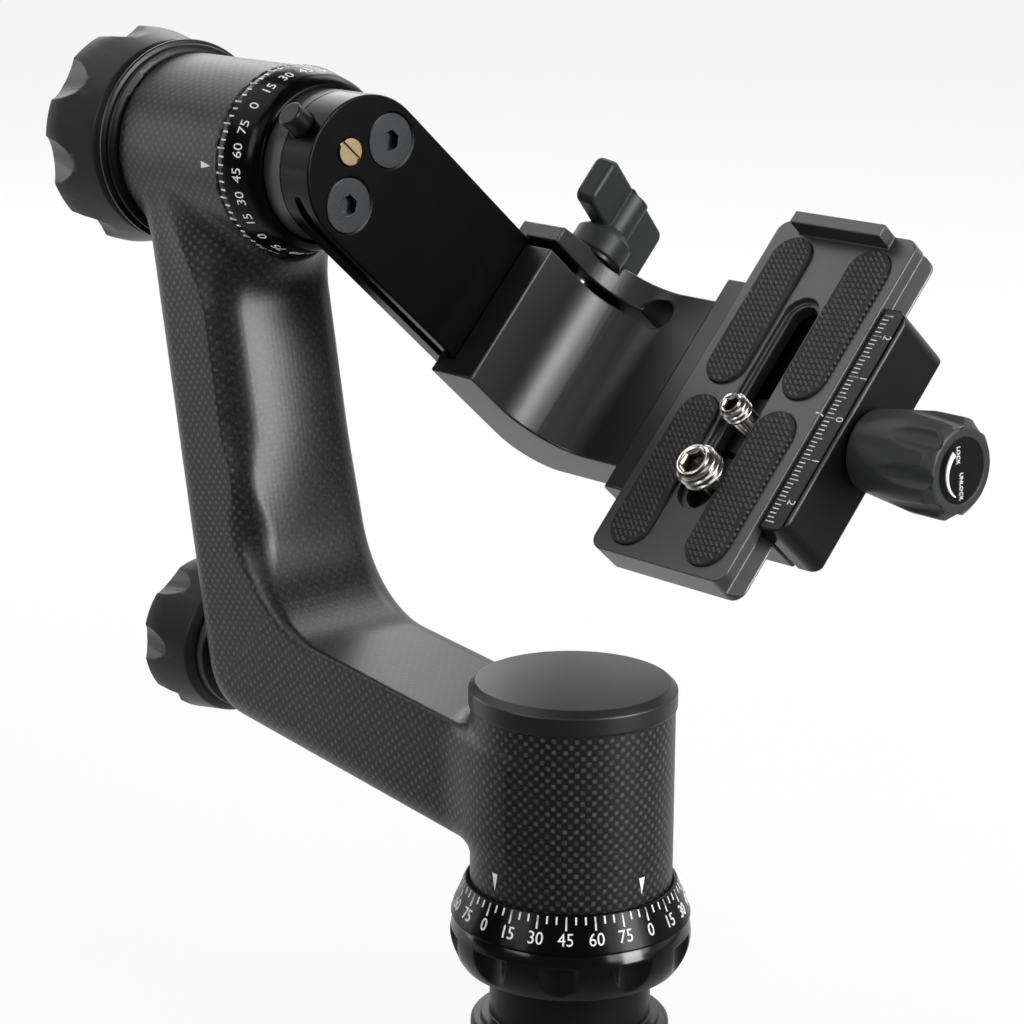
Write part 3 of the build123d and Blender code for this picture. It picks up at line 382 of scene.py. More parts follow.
def paint_material():
    """White printing ink, a little worn."""
    made, make, shader = new_material("White printed marks")
    white = finish_colours().paint
    full = flecked(make, *WORN)
    make.put(shader, "Base Color", make.mix(full, rgba(white, WORN_GAIN), rgba(white)))
    make.put(shader, "Roughness", 0.5)
    return made


def turned_metal(name, colour, roughness, rings=9000.0):
    """Bare bright metal with fine machining marks."""
    return satin(name, colour, roughness, 0.5, edge=0.15, metallic=1.0, tint=0.10, bump=0.12,
                 grains=rings * 0.4, spread=0.05, lines=rings, stretch=1.0)


# colour of the painted shade in the thread's roots, the socket and the plain end
THREAD_SHADE = (0.045, 0.038, 0.03, 1.0)


def thread_material():
    """Bright nickel plate, with painted shade in the thread's roots and deeper in the socket."""
    made = satin("Bright nickel plate", (0.72, 0.69, 0.64), 0.22, 0.5, edge=0.05, metallic=1.0,
                 tint=0.08, bump=0.02, spread=0.04)
    make, shader = Tree(made.node_tree), made.node_tree.nodes["Principled BSDF"]
    unshaded = shader.inputs["Base Color"].links[0].from_socket
    make.put(shader, "Base Color", make.mix(make.attribute("depth"), unshaded, THREAD_SHADE))
    return made


RIB_HIGHLIGHT_GAIN = 2.6          # how much lighter than the pad its ribs are painted, a painted highlight on their raised tops


def all_materials():
    colours = finish_colours()
    # painted highlight: the ribs are the pad's rubber, painted lighter
    rib_highlight_colour = [RIB_HIGHLIGHT_GAIN * channel for channel in colours.pad]
    return {
        "anodised": satin("Satin black anodised", colours.anodised, 0.32, 0.20),
        "cap": satin("Satin grey-black cap", (0.009, 0.009, 0.0093), 0.38, 0.36, edge=0.2),
        "dial": satin("Fine black dial", (0.002, 0.002, 0.0021), 0.22, 0.08),
        "jaw": satin("Black anodised jaw", (0.006, 0.006, 0.0063), 0.32, 0.24, edge=0.4),
        "plate": satin("Fine black anodised", (0.0014, 0.0014, 0.0017), 0.24, 0.12, tint=0.1,
                       edge=0.4),
        "deck": satin("Matt black anodised", (0.026, 0.026, 0.0265), 0.38, 0.75, bump=0.08),
        "cradle": satin("Brushed black anodised", colours.cradle, 0.36, 0.52, lines=5000.0,
                        bump=0.10, edge=0.4),
        "lever": satin("Satin grey-black cast", (0.023, 0.025, 0.0245), 0.42, 0.20, edge=0.5),
        "grip_ring": satin("Gloss black ring", (0.003, 0.003, 0.0035), 0.14, 0.30, edge=0.4,
                           bump=0.02),
        "grip": satin("Soft knob coating", colours.grip, 0.40, 0.14, edge=0.5, bump=0.08,
                      tint=0.25),
        "flange": satin("Dark grey turned flange", (0.024, 0.025, 0.027), 0.34, 0.40),
        "clamp_grip": satin("Grey knob coating", (0.036, 0.037, 0.037), 0.38, 0.20, edge=0.5,
                            bump=0.06),
        "pad": satin("Pad rubber", colours.pad, 0.50, 0.14, edge=0.1, bump=0.15, tint=0.3),
        "rib": satin("Pad ribs with painted highlight", rib_highlight_colour, 0.42, 0.30, edge=0.1, tint=0.4),
        "screw_steel": thread_material(),
        "steel": turned_metal("Ground steel", (0.40, 0.40, 0.41), 0.30),
        "silver": turned_metal("Turned grey steel", (0.060, 0.062, 0.065), 0.28),
        "black_steel": satin("Black oxide steel", (0.006, 0.006, 0.006), 0.30, 0.20, edge=0.15),
        "brass": turned_metal("Brass", (0.30, 0.235, 0.13), 0.30),
        "nylon": satin("Natural nylon", (0.60, 0.60, 0.57), 0.5, 0.4),
        "disc": satin("Black printed disc", (0.006, 0.006, 0.007), 0.34, 0.15, edge=0.1),
        "paint": paint_material(),
        "carbon": carbon_material(),
    }


MATERIALS = {}


def material(key):
    if not MATERIALS:
        MATERIALS.update(all_materials())
    return MATERIALS[key]


def dress(piece, key):
    piece.data.materials.clear()
    piece.data.materials.append(material(key))


# ======== mesh helpers
def new_object(name, data):
    """An object at the origin, linked to the scene."""
    made = bpy.data.objects.new(name, data)
    bpy.context.scene.collection.objects.link(made)
    return made


def mesh_object(name, points, faces):
    """A mesh object from points in metres."""
    mesh = bpy.data.meshes.new(name)
    mesh.from_pydata([tuple(point) for point in points], [], [tuple(face) for face in faces])
    mesh.update()
    return new_object(name, mesh)


def smooth(piece, angle):
    """Smooth shading, with edges sharper than the angle kept."""
    mesh = piece.data
    mesh.shade_smooth()
    mesh.set_sharp_from_angle(angle=math.radians(angle))


def evaluated_mesh(holder):
    bpy.context.view_layer.update()
    evaluated = holder.evaluated_get(bpy.context.evaluated_depsgraph_get())
    return bpy.data.meshes.new_from_object(evaluated)


def apply_modifiers(piece):
    """Turns the evaluated shape into the piece's plain mesh."""
    old, piece.data = piece.data, evaluated_mesh(piece)
    piece.modifiers.clear()
    bpy.data.meshes.remove(old)


def finish_piece(piece, body, slot, key, *nodes):
    """Gives a piece its finish and its body, and hides the nodes that it stands for; the slot is not used."""
    dress(piece, key)
    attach(piece, body)
    if nodes:
        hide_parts(*nodes)
    return piece


def body_of(node):
    bodies = frame["record"]["behaviour"]["bodies"]
    return next(body for body, nodes in bodies.items() if node in nodes)


WELD = 0.0005 * MM      # points closer than this are one
FLAT = 0.4              # faces that meet within this many degrees are one


def merged_copy(node, name):
    """A welded copy of a node's mesh with its flat faces joined up."""
    mesh = frame["nodes"][node].data.copy()
    work = bmesh.new()
    work.from_mesh(mesh)
    bmesh.ops.remove_doubles(work, verts=work.verts, dist=WELD)
    bmesh.ops.dissolve_limit(work, angle_limit=math.radians(FLAT), verts=work.verts,
                             edges=work.edges)
    work.to_mesh(mesh)
    work.free()
    return new_object(name, mesh)


SHARP = 32.0            # edges sharper than this many degrees are broken


def edge_broken(node, name, slot, key, width):
    """A node's shape with its sharp edges broken by a small round."""
    piece = merged_copy(node, name)
    smooth(piece, SHARP)
    bevel = piece.modifiers.new("Edge break", "BEVEL")
    bevel.limit_method = "ANGLE"
    bevel.angle_limit = math.radians(SHARP)
    bevel.width = width
    bevel.segments = 2
    bevel.use_clamp_overlap = False
    weighted = piece.modifiers.new("Flat faces stay flat", "WEIGHTED_NORMAL")
    weighted.weight = 100
    weighted.keep_sharp = True
    apply_modifiers(piece)
    return finish_piece(piece, body_of(node), slot, key, node)


# ======== carbon arm
# The arm's own sizes, in millimetres and degrees.
ARM = {
    # the two limbs: half their width and depth, the round of their edges, their leans and bends
    "half": 13.4, "depth": 17.5, "corner": 8.0, "lean": 11.4, "slope": 5.64,
    "elbow_x": -91.3, "elbow_z": 61.2, "outer_bend": 14.0, "inner_bend": 24.0,
    # the near edge of the inner face: tight below, softer in the bend, round at the top
    "front_corner": 2.2, "bend_round": 5.0, "bend_z": 91.0, "bend_run": 10.0,
    "top_round": 4.0, "front_back": 1.3,
    # column and hub, and how narrow the seams are where the limbs don't flow into them
    "column_r": 20.5, "column_z0": 33.6, "column_z1": 72.6, "column_seam": 1.5,
    "hub_r": 19.9, "hub_x0": -126.4, "hub_x1": -90.0, "hub_seam": 0.4,
    "hub_reach": 40.0, "hub_room": 3.0, "skin": 0.5, "shoulder": 3.0, "wall": 1.6,
    # the flat under the pan lock bush, and the bore of its push rod
    "brake_z": 58.6, "brake_face": -105.9, "flat_half": 14.8, "rod_r": 7.0,
}
ARM_BOX = (-128.5, -22.5, 32.0), (22.5, 22.5, HUB_Z + 22.0)
DEEP = -9.0             # a distance that says well inside

# Where the shape changes along an axis: the start and the run, in millimetres.
CHANGES = {
    "crown_z": (84.0, 30.0), "lower_x": (-74.0, 18.0), "upright_z": (96.0, 20.0),
    "top_z": (138.0, 22.0), "column_foot_z": (39.5, 8.0), "column_head_z": (70.0, -6.0),
    "hub_x": (-118.0, 16.0), "hub_z": (170.0, -24.0),
}


def rounded_max(a, b, r):
    """Where two faces meet, with an edge of radius r."""
    a, b = a + r, b + r
    return np.minimum(np.maximum(a, b), 0.0) + np.hypot(np.maximum(a, 0.0), np.maximum(b, 0.0)) - r


def soft_min(a, b, k):
    mix = np.clip(0.5 + 0.5 * (b - a) / k, 0.0, 1.0)
    return b * (1.0 - mix) + a * mix - k * mix * (1.0 - mix)


def change(name, value):
    """From 0 to 1 with soft ends, along the named change."""
    start, run = CHANGES[name]
    share = np.clip((value - start) / run, 0.0, 1.0)
    return share * share * (3.0 - 2.0 * share)


class ArmShape:
    """Distance to the surface of the arm, in millimetres; negative inside."""

    def __init__(self):
        lean, slope = math.radians(ARM["lean"]), math.radians(ARM["slope"])
        self.up = (-math.sin(lean), math.cos(lean))
        self.fall = (math.cos(slope), -math.sin(slope))
        self.crown = sizes().arm_crown / MM
        self.drop = sizes().arm_drop / MM
        self.blend = sizes().arm_blend / MM

    def offsets(self, x, z):
        """How far a point lies outward of each limb's middle line."""
        x, z = x - ARM["elbow_x"], z - ARM["elbow_z"]
        return self.up[0] * z - self.up[1] * x, self.fall[1] * x - self.fall[0] * z

    def runs(self, x, z):
        """How far a point lies along each limb from the elbow."""
        x, z = x - ARM["elbow_x"], z - ARM["elbow_z"]
        return self.up[0] * x + self.up[1] * z, self.fall[0] * x + self.fall[1] * z

    def centre(self, offset):
        """The point at the same offset from both middle lines, by its runs."""
        det = self.up[0] * self.fall[1] - self.up[1] * self.fall[0]
        outward = np.array((-self.up[1], self.up[0])), np.array((self.fall[1], -self.fall[0]))
        step = offset * (outward[1] - outward[0])
        run = (step[0] * self.fall[1] - step[1] * self.fall[0]) / det
        return (ARM["elbow_x"] + self.up[0] * run + outward[0][0] * offset,
                ARM["elbow_z"] + self.up[1] * run + outward[0][1] * offset)

    def bend(self, x, z, offset):
        cx, cz = self.centre(offset)
        dx, dz = x - cx, z - cz
        inside = ((dx * self.up[0] + dz * self.up[1] < 0)
                  & (dx * self.fall[0] + dz * self.fall[1] < 0))
        return inside, np.hypot(dx, dz)

    def reach(self, turn, z):
        """How far out the surface lies from the pan axis."""
        r = ARM["column_r"]
        for _ in range(4):
            r -= float(self(r * math.cos(turn), r * math.sin(turn), z))
        return r

    def limb(self, x, y, z):
        half, depth, corner = ARM["half"], ARM["depth"], ARM["corner"]
        a, b = self.offsets(x, z)
        inside, reach = self.bend(x, z, half - ARM["outer_bend"])
        outer = np.where(inside, reach - ARM["outer_bend"], np.maximum(a, b) - half)
        inside, reach = self.bend(x, z, -half - ARM["inner_bend"])
        inner = np.where(inside, ARM["inner_bend"] - reach, np.minimum(-half - a, -half - b))
        crown = self.crown * (1.0 - np.minimum((y / depth) ** 2, 1.0)) - self.drop
        inner = inner - change("crown_z", z) * crown
        front, back = -y - depth, y - depth
        shape = np.maximum(rounded_max(outer, front, corner), rounded_max(outer, back, corner))
        lower, up, top = change("lower_x", x), change("upright_z", z), change("top_z", z)
        bend = np.exp(-((z - ARM["bend_z"]) / ARM["bend_run"]) ** 2) * (1.0 - lower)
        below = ARM["front_corner"] - lower + ARM["bend_round"] * bend
        edge = below * (1.0 - up) + (corner + ARM["top_round"] * top) * up
        front = front - ARM["front_back"] * up * (1.0 - top)
        shape = np.maximum(shape, rounded_max(inner, front, edge))
        shape = np.maximum(shape, rounded_max(inner, back, corner))
        return np.maximum(np.maximum(shape, x), z - HUB_Z)

    def __call__(self, x, y, z):
        round_column, round_hub = np.hypot(x, y), np.hypot(y, z - HUB_Z)
        column_r, hub_r, wall = ARM["column_r"], ARM["hub_r"], ARM["wall"]
        # limbs, column and hub flow into one form
        column = np.maximum(round_column - column_r,
                            np.maximum(z - ARM["column_z1"], ARM["column_z0"] - z))
        hub = np.maximum(round_hub - hub_r, np.maximum(x - ARM["hub_x1"], ARM["hub_x0"] - x))
        beside = change("column_foot_z", z) * change("column_head_z", z)
        flow = ARM["column_seam"] + (self.blend - ARM["column_seam"]) * beside
        shape = soft_min(self.limb(x, y, z), column, flow)
        flow = self.blend * (1.0 + change("hub_x", x)) * change("hub_z", z)
        shape = soft_min(shape, hub, ARM["hub_seam"] + flow)
        # the ends of the column and of the hub are cut off square
        over = np.maximum(round_column - column_r - ARM["skin"], 0.0)
        shape = np.maximum(shape, z - ARM["column_z1"] - ARM["shoulder"] * over)
        around = np.maximum(round_hub - hub_r - ARM["skin"], 0.0)
        shape = np.maximum(shape, ARM["hub_x0"] - x - around)
        beyond = x - ARM["hub_x1"] - around
        shape = np.maximum(shape, np.where(z > HUB_Z - ARM["hub_reach"], beyond, DEEP))
        # both are hollow, and the lock's flat and bore are cut out
        shape = np.maximum(shape, column_r - wall - round_column)
        near_hub = round_hub < hub_r + ARM["hub_room"]
        shape = np.maximum(shape, np.where(near_hub, hub_r - wall - round_hub, DEEP))
        flat = np.maximum(np.abs(y), np.abs(z - ARM["brake_z"])) - ARM["flat_half"]
        shape = np.maximum(shape, -np.maximum(flat, x - ARM["brake_face"]))
        rod = np.maximum(np.hypot(y, z - ARM["brake_z"]) - ARM["rod_r"], x)
        return np.maximum(shape, -rod)


SETTLE_ROUNDS, SETTLE_SHARE = 4, 0.9    # how often a point steps to the surface, and how far
LONGEST_STEP = 0.5      # in mm
FLATTEST = 0.2          # the least slope that a step is worked out from
PROBE = 0.02            # how far to each side the slope is read, in mm


def surface_mesh(shape, low, high, step):
    """Meshes the zero surface on a grid: one point in each crossed cell, moved onto the surface."""
    axes = [np.arange(a, b + step, step) for a, b in zip(low, high)]
    grid = np.meshgrid(*axes, indexing="ij")
    field = shape(*grid)
    inside = field < 0
    cells = [size - 1 for size in field.shape]
    corners = [(i, j, k) for i in (0, 1) for j in (0, 1) for k in (0, 1)]
    edges = [(a, b) for a in range(8) for b in range(a + 1, 8)
             if sum(u != v for u, v in zip(corners[a], corners[b])) == 1]

    def corner(array, where):
        return array[tuple(slice(at, at + size) for at, size in zip(where, cells))]

    total = np.zeros((*cells, 3))
    count = np.zeros(cells)
    for a, b in edges:
        first, second = corner(field, corners[a]), corner(field, corners[b])
        crossed = (first < 0) != (second < 0)
        share = np.where(crossed, first / np.where(crossed, first - second, 1.0), 0.0)
        for axis in range(3):
            place = corners[a][axis] + share * (corners[b][axis] - corners[a][axis])
            total[..., axis] += np.where(crossed, place, 0.0)
        count += crossed
    used = count > 0
    number = np.full(cells, -1)
    number[used] = np.arange(used.sum())
    index = np.argwhere(used)
    points = (index + total[used] / count[used][:, None]) * step
    points += np.array([axis[0] for axis in axes])
    faces = []
    for axis in range(3):
        u, v = (axis + 1) % 3, (axis + 2) % 3
        before = inside.take(range(0, inside.shape[axis] - 1), axis)
        after = inside.take(range(1, inside.shape[axis]), axis)
        for crossing, flip in ((before & ~after, False), (~before & after, True)):
            places = np.argwhere(crossing)
            places = places[(places[:, u] > 0) & (places[:, v] > 0)]
            ring = []
            for du, dv in ((-1, -1), (0, -1), (0, 0), (-1, 0)):
                cell = places.copy()
                cell[:, u] += du
                cell[:, v] += dv
                ring.append(number[cell[:, 0], cell[:, 1], cell[:, 2]])
            faces.append(np.stack(ring[::-1] if flip else ring, axis=1))
    for _ in range(SETTLE_ROUNDS):
        points = points - settle(shape, points) * SETTLE_SHARE
    return points, np.concatenate(faces)


def settle(shape, points):
    """The step that takes each point onto the surface."""
    value = shape(*points.T)
    slope = slopes(shape, points)
    steepness = np.maximum((slope ** 2).sum(axis=1), FLATTEST)
    return np.clip(value / steepness, -LONGEST_STEP, LONGEST_STEP)[:, None] * slope


def slopes(shape, points):
    """Which way the distance grows at each point."""
    slope = np.empty_like(points)
    for axis in range(3):
        shift = np.zeros(3)
        shift[axis] = PROBE
        rise = shape(*(points + shift).T) - shape(*(points - shift).T)
        slope[:, axis] = rise / (2 * PROBE)
    return slope


def unit(vectors):
    return vectors / np.maximum(np.linalg.norm(vectors, axis=1), 1e-6)[:, None]


CLOTH_REACH = 1.5       # how far off the column or the hub its own cloth still reaches, in mm
SIDE_FACE = 0.7         # a face that looks this much sideways takes the side's map
WRAP = 40.0             # where the inner and outer faces start on the map, in mm
HUB_SHOWN = 0.6         # how clearly the weave shows on the hub
INNER_HIDDEN = 0.8      # how much of the weave is lost on the inner faces
INNER_FROM, INNER_RUN = 0.3, 0.4


def cloth_map(shape, points, normals):
    """Where each face corner lies on the cloth, in metres, and how clearly its weave shows."""
    x, y, z = points.T
    up_run, fall_run = shape.runs(x, z)
    a, b = shape.offsets(x, z)
    on_column = np.hypot(x, y) < ARM["column_r"] + CLOTH_REACH
    on_hub = np.hypot(y, z - HUB_Z) < ARM["hub_r"] + CLOTH_REACH
    upright = up_run > fall_run
    run = np.where(upright, up_run, -fall_run)
    across = np.where(upright, a, b)
    side = np.abs(normals[:, 1]) > SIDE_FACE
    limb_u = np.where(side, across, y + WRAP * np.sign(across))
    hub_u = np.arctan2(y, HUB_Z - z) * ARM["hub_r"]
    u = np.where(on_column, np.arctan2(y, x) * ARM["column_r"], np.where(on_hub, hub_u, limb_u))
    v = np.where(on_column, z, np.where(on_hub, x, run))
    inward = np.where(upright, shape.up[1] * normals[:, 0] - shape.up[0] * normals[:, 2],
                      shape.fall[0] * normals[:, 2] - shape.fall[1] * normals[:, 0])
    limb = 1.0 - INNER_HIDDEN * np.clip((inward - INNER_FROM) / INNER_RUN, 0.0, 1.0)
    shown = np.where(on_column, 1.0, np.where(on_hub, HUB_SHOWN, limb))
    return np.stack((u, v), axis=1) * MM, shown


CREASE = 25.0           # where two faces meet more sharply than this, in degrees, the edge shows
INTO_FACE = 0.12        # how far from its corner towards its middle a face is read


class GIMBAL_OT_arm(bpy.types.Operator):
    """Makes the moulded carbon arm as one flowing shell"""
    bl_idname = "gimbal.arm"
    bl_label = "Carbon arm"

    def execute(self, context):
        shape = ArmShape()
        points, faces = surface_mesh(shape, *ARM_BOX, sizes().arm_grid / MM)
        piece = mesh_object("carbon_arm_shell", points * MM, faces)
        smooth(piece, angle=40.0)
        mesh = piece.data
        corner_vertex = np.empty(len(mesh.loops), dtype=np.int32)
        mesh.loops.foreach_get("vertex_index", corner_vertex)
        corners, facing = points[corner_vertex], unit(slopes(shape, points))
        middles = np.repeat(points[faces].mean(axis=1), 4, axis=0)
        within = corners + INTO_FACE * (middles - corners)
        normals = unit(slopes(shape, within - settle(shape, within)))
        flowing = facing[corner_vertex]
        gentle = (normals * flowing).sum(axis=1) > math.cos(math.radians(CREASE))
        mesh.normals_split_custom_set(np.where(gentle[:, None], flowing, normals).tolist())
        face_facing = np.repeat(facing[faces].mean(axis=1), 4, axis=0)
        cloth, shown = cloth_map(shape, corners, face_facing)
        layer = mesh.uv_layers.new(name="cloth")
        layer.data.foreach_set("uv", cloth.ravel())
        mesh.attributes.new("weave", "FLOAT", "CORNER").data.foreach_set("value", shown)
        finish_piece(piece, "arm", "carbon", "carbon", "carbon_arm")
        return {"FINISHED"}


# ======== metal parts and knobs
BROKEN_EDGES = {
    # node: (piece, slot, finish, width as a share of the edge break)
    "base_plate": ("base_flange", "black_anodised", "anodised", 1.0),
    "grip_ring": ("base_grip_ring", "black_anodised", "grip_ring", 1.0),
    "pan_scale_ring": ("pan_dial", "black_anodised", "dial", 0.8),
    "column_cap": ("column_top_cap", "black_anodised", "cap", 0.8),
    "tilt_collar": ("hub_collar", "black_anodised", "anodised", 1.0),
    "pan_lock_bush": ("pan_knob_bush", "black_anodised", "anodised", 1.0),
    "tilt_scale_ring": ("tilt_dial", "black_anodised", "dial", 0.8),
    "swing_plate": ("swing_arm_plate", "black_anodised", "plate", 1.2),
    "cradle_arm": ("cradle_bracket", "black_cradle", "cradle", 1.4),
    "clamp_jaw": ("moving_jaw", "black_cradle", "jaw", 1.2),
    "quick_release_plate": ("camera_plate", "black_anodised", "deck", 1.0),
    "tilt_knob": ("tilt_knob_grip", "grip", "grip", 1.2),
    "pan_knob": ("pan_knob_grip", "grip", "grip", 1.2),
    "clamp_knob": ("clamp_knob_grip", "grip", "clamp_grip", 1.0),
}


class GIMBAL_OT_metal(bpy.types.Operator):
    """Breaks the edges of the milled, turned and moulded parts"""
    bl_idname = "gimbal.metal"
    bl_label = "Milled parts and knobs"

    def execute(self, context):
        for node, (name, slot, key, share) in BROKEN_EDGES.items():
            edge_broken(node, name, slot, key, share * sizes().edge_break)
        return {"FINISHED"}


# ======== marks
PAINT_ROOT = 0.25 * MM      # how deep a mark reaches under the surface
BAR_DEPTH = 0.5             # height of a printed bar, mostly sunk, in mm
TICK_WIDTH = 0.34
DIAL_LABELS = (0, 15, 30, 45, 60, 75)
NUMBER_HEIGHT = 3.3


def bar_sink():
    """How far the middle of a printed bar lies under its surface, in mm."""
    return BAR_DEPTH / 2 - sizes().tick_height / MM


def text_mesh(words, height):
    """Flat outline of a short text, centred, in millimetres."""
    curve = bpy.data.curves.new("words", "FONT")
    curve.body = words
    curve.size = height
    curve.align_x = curve.align_y = "CENTER"
    curve.resolution_u = 3
    holder = new_object("words", curve)
    mesh = evaluated_mesh(holder)
    points = [vertex.co.copy() for vertex in mesh.vertices]
    faces = [tuple(face.vertices) for face in mesh.polygons]
    bpy.data.objects.remove(holder)
    bpy.data.curves.remove(curve)
    bpy.data.meshes.remove(mesh)
    return points, faces


class Marks:
    """Collects flat printed shapes and turns them into one thin proud mesh."""

    def __init__(self):
        self.points, self.faces = [], []

    def put(self, points, faces, place):
        """Adds one flat shape; place turns (across, up) into a point and its outward direction."""
        start, count = len(self.points), len(points)
        for raised in (sizes().tick_height, -PAINT_ROOT):
            for point in points:
                at, outward = place(point[0], point[1])
                self.points.append(at + outward * raised)
        sides = {}
        for face in faces:
            self.faces.append(tuple(start + i for i in face))
            self.faces.append(tuple(start + count + i for i in reversed(face)))
            sides.update(dict.fromkeys(zip(face, (*face[1:], face[0]))))
        for a, b in sides:
            if (b, a) not in sides:
                self.faces.append((start + b, start + a, start + count + a, start + count + b))

    def bar(self, place, x0, x1, y0, y1):
        self.put([(x0, y0), (x1, y0), (x0, y1), (x1, y1)], [(0, 1, 3, 2)], place)

    def pointer(self, place, height, half=0.75):
        """A small triangle that stands on its point."""
        self.put([(0.0, 0.0), (half, height), (-half, height)], [(0, 1, 2)], place)

    def words(self, place, text, height, up=0.0):
        points, faces = text_mesh(text, height)
        self.put(points, faces, lambda across, along: place(across, along + up))

    def piece(self, name):
        return mesh_object(name, self.points, self.faces)


def cone_place(centre, axis, start, r0, r1, length, turn):
    """Wraps a flat mark on a cone: across runs round it, up runs along the axis from its foot."""
    side = axis.cross(start)

    def place(across, up):
        r = r0 + (r1 - r0) * up / length
        angle = turn + across / r
        radial = start * math.cos(angle) + side * math.sin(angle)
        outward = (radial * length + axis * (r0 - r1)).normalized()
        return centre + (axis * up + radial * r) * MM, outward

    return place


def flat_place(centre, right, up):
    outward = right.cross(up).normalized()

    def place(across, along):
        return centre + (right * across + up * along) * MM, outward

    return place


def grow_painted(make, given, points, shape, **how):
    """Ends a tree: the shape on every point, made real, with its finish."""
    placed = make.add("GeometryNodeInstanceOnPoints", Points=points, Instance=shape, **how)
    real = make.add("GeometryNodeRealizeInstances", Geometry=placed.outputs[0]).outputs[0]
    painted = make.add("GeometryNodeSetMaterial", Geometry=real, Material=given["Finish"])
    make.add("NodeGroupOutput", Geometry=painted.outputs[0])
    return make.tree


def point_row(make, count, position):
    return make.add("GeometryNodePoints", Count=count, Position=position).outputs[0]


def block(make, x, y, z):
    return make.add("GeometryNodeMeshCube", Size=make.vector(x, y, z)).outputs["Mesh"]


def tick_tree(name="Ring of marks"):
    """Geometry Nodes: a ring of thin bars on a cone, with named sizes."""
    make, given = new_tree(
        "GeometryNodeTree", name,
        [("Marks", COUNT, 72), ("Radius", FLOAT, 0.02), ("Height on axis", FLOAT, 0.0),
         ("Length", FLOAT, 0.002), ("Width", FLOAT, 0.0003), ("Depth", FLOAT, 0.0006),
         ("Slant", FLOAT, 0.0), ("First angle", FLOAT, 0.0), ("Finish", MATERIAL, None)],
        [("Geometry", GEOMETRY)])
    index = make.add("GeometryNodeInputIndex").outputs[0]
    angle = make.plus(make.math("DIVIDE", make.times(index, math.tau), given["Marks"]),
                      given["First angle"])
    x = make.times(make.math("COSINE", angle), given["Radius"])
    y = make.times(make.math("SINE", angle), given["Radius"])
    points = point_row(make, given["Marks"], make.vector(x, y, given["Height on axis"]))
    bar = block(make, given["Depth"], given["Width"], given["Length"])
    slanted = make.add("GeometryNodeTransform", Geometry=bar,
                       Rotation=make.vector(y=given["Slant"])).outputs[0]
    return grow_painted(make, given, points, slanted, Rotation=make.vector(z=angle))


def row_tree(name="Row of marks"):
    """Geometry Nodes: a straight row of thin bars, with named sizes."""
    make, given = new_tree(
        "GeometryNodeTree", name,
        [("Marks", COUNT, 51), ("Pitch", FLOAT, 0.001), ("Length", FLOAT, 0.002),
         ("Width", FLOAT, 0.0003), ("Depth", FLOAT, 0.0006), ("Finish", MATERIAL, None)],
        [("Geometry", GEOMETRY)])
    index = make.add("GeometryNodeInputIndex").outputs[0]
    half = make.math("DIVIDE", make.minus(given["Marks"], 1.0), 2.0)
    along = make.times(make.minus(index, half), given["Pitch"])
    points = point_row(make, given["Marks"], make.vector(y=along))
    bar = block(make, given["Length"], given["Width"], given["Depth"])
    shift = make.vector(make.math("DIVIDE", given["Length"], 2.0))
    moved = make.add("GeometryNodeTransform", Geometry=bar, Translation=shift).outputs[0]
    return grow_painted(make, given, points, moved)


def grown(name, tree, inputs):
    """Runs a Geometry Nodes tree with the given inputs and keeps its plain mesh."""
    holder = new_object(name, bpy.data.meshes.new(name))
    modifier = holder.modifiers.new("Grow", "NODES")
    modifier.node_group = tree
    sockets = {item.name: item.identifier for item in tree.interface.items_tree
               if item.item_type == "SOCKET" and item.in_out == "INPUT"}
    for label, value in inputs.items():
        modifier[sockets[label]] = value
    apply_modifiers(holder)
    return holder


def ring_marks(name, tree, count, radius, along, length, slant, first):
    return grown(name, tree, {
        "Marks": count, "Radius": (radius - bar_sink()) * MM, "Height on axis": along * MM,
        "Length": length * MM, "Width": TICK_WIDTH * MM, "Depth": BAR_DEPTH * MM,
        "Slant": slant, "First angle": first, "Finish": material("paint")})


def row_marks(name, tree, count, pitch, length, width, depth, key):
    return grown(name, tree, {
        "Marks": count, "Pitch": pitch * MM, "Length": length * MM, "Width": width * MM,
        "Depth": depth * MM, "Finish": material(key)})


def joined(name, pieces):
    """One object made of several, all of them at the origin."""
    work = bmesh.new()
    for piece in pieces:
        work.from_mesh(piece.data)
    mesh = bpy.data.meshes.new(name)
    work.to_mesh(mesh)
    work.free()
    for piece in pieces:
        old = piece.data
        bpy.data.objects.remove(piece)
        bpy.data.meshes.remove(old)
    return new_object(name, mesh)


# Radii, places along the axis and lengths in millimetres, and the angle of the zero in degrees.
PAN_DIAL = {
    "r0": 24.3, "r1": 21.4, "z0": 28.9, "zero": -90.0, "number": 2.0, "edge": 0.35,
    "ticks": ((72, 1.5), (24, 2.6)), "pointer": 3.6, "pointer_gap": 2.0, "pointer_run": 6.0,
    "pointers": (-90.0, 0.0),
}
TILT_DIAL = {
    "r0": 18.9, "r1": 20.2, "x0": -81.2, "x1": -87.0, "zero": 138.1, "number": 2.3,
    "ticks_x": -87.2, "ticks": ((72, 1.5), (24, 2.3)), "pointer": 3.4, "pointer_x": -92.0,
    "pointer_run": 6.0,
}
Y_AXIS = Vector((0.0, 1.0, 0.0))
RING_TO_HUB = Matrix(((0, 0, 1, 0), (1, 0, 0, 0), (0, 1, 0, 0), (0, 0, 0, 1)))


def dial_numbers(name, dial, way, place_at):
    """The numbers of a dial, which start again every quarter turn."""
    numbers = Marks()
    for quarter in range(4):
        for value in DIAL_LABELS:
            place = place_at(math.radians(dial["zero"] + way * (90.0 * quarter + value)))
            numbers.words(place, str(value), NUMBER_HEIGHT, dial["number"])
    return numbers.piece(name)


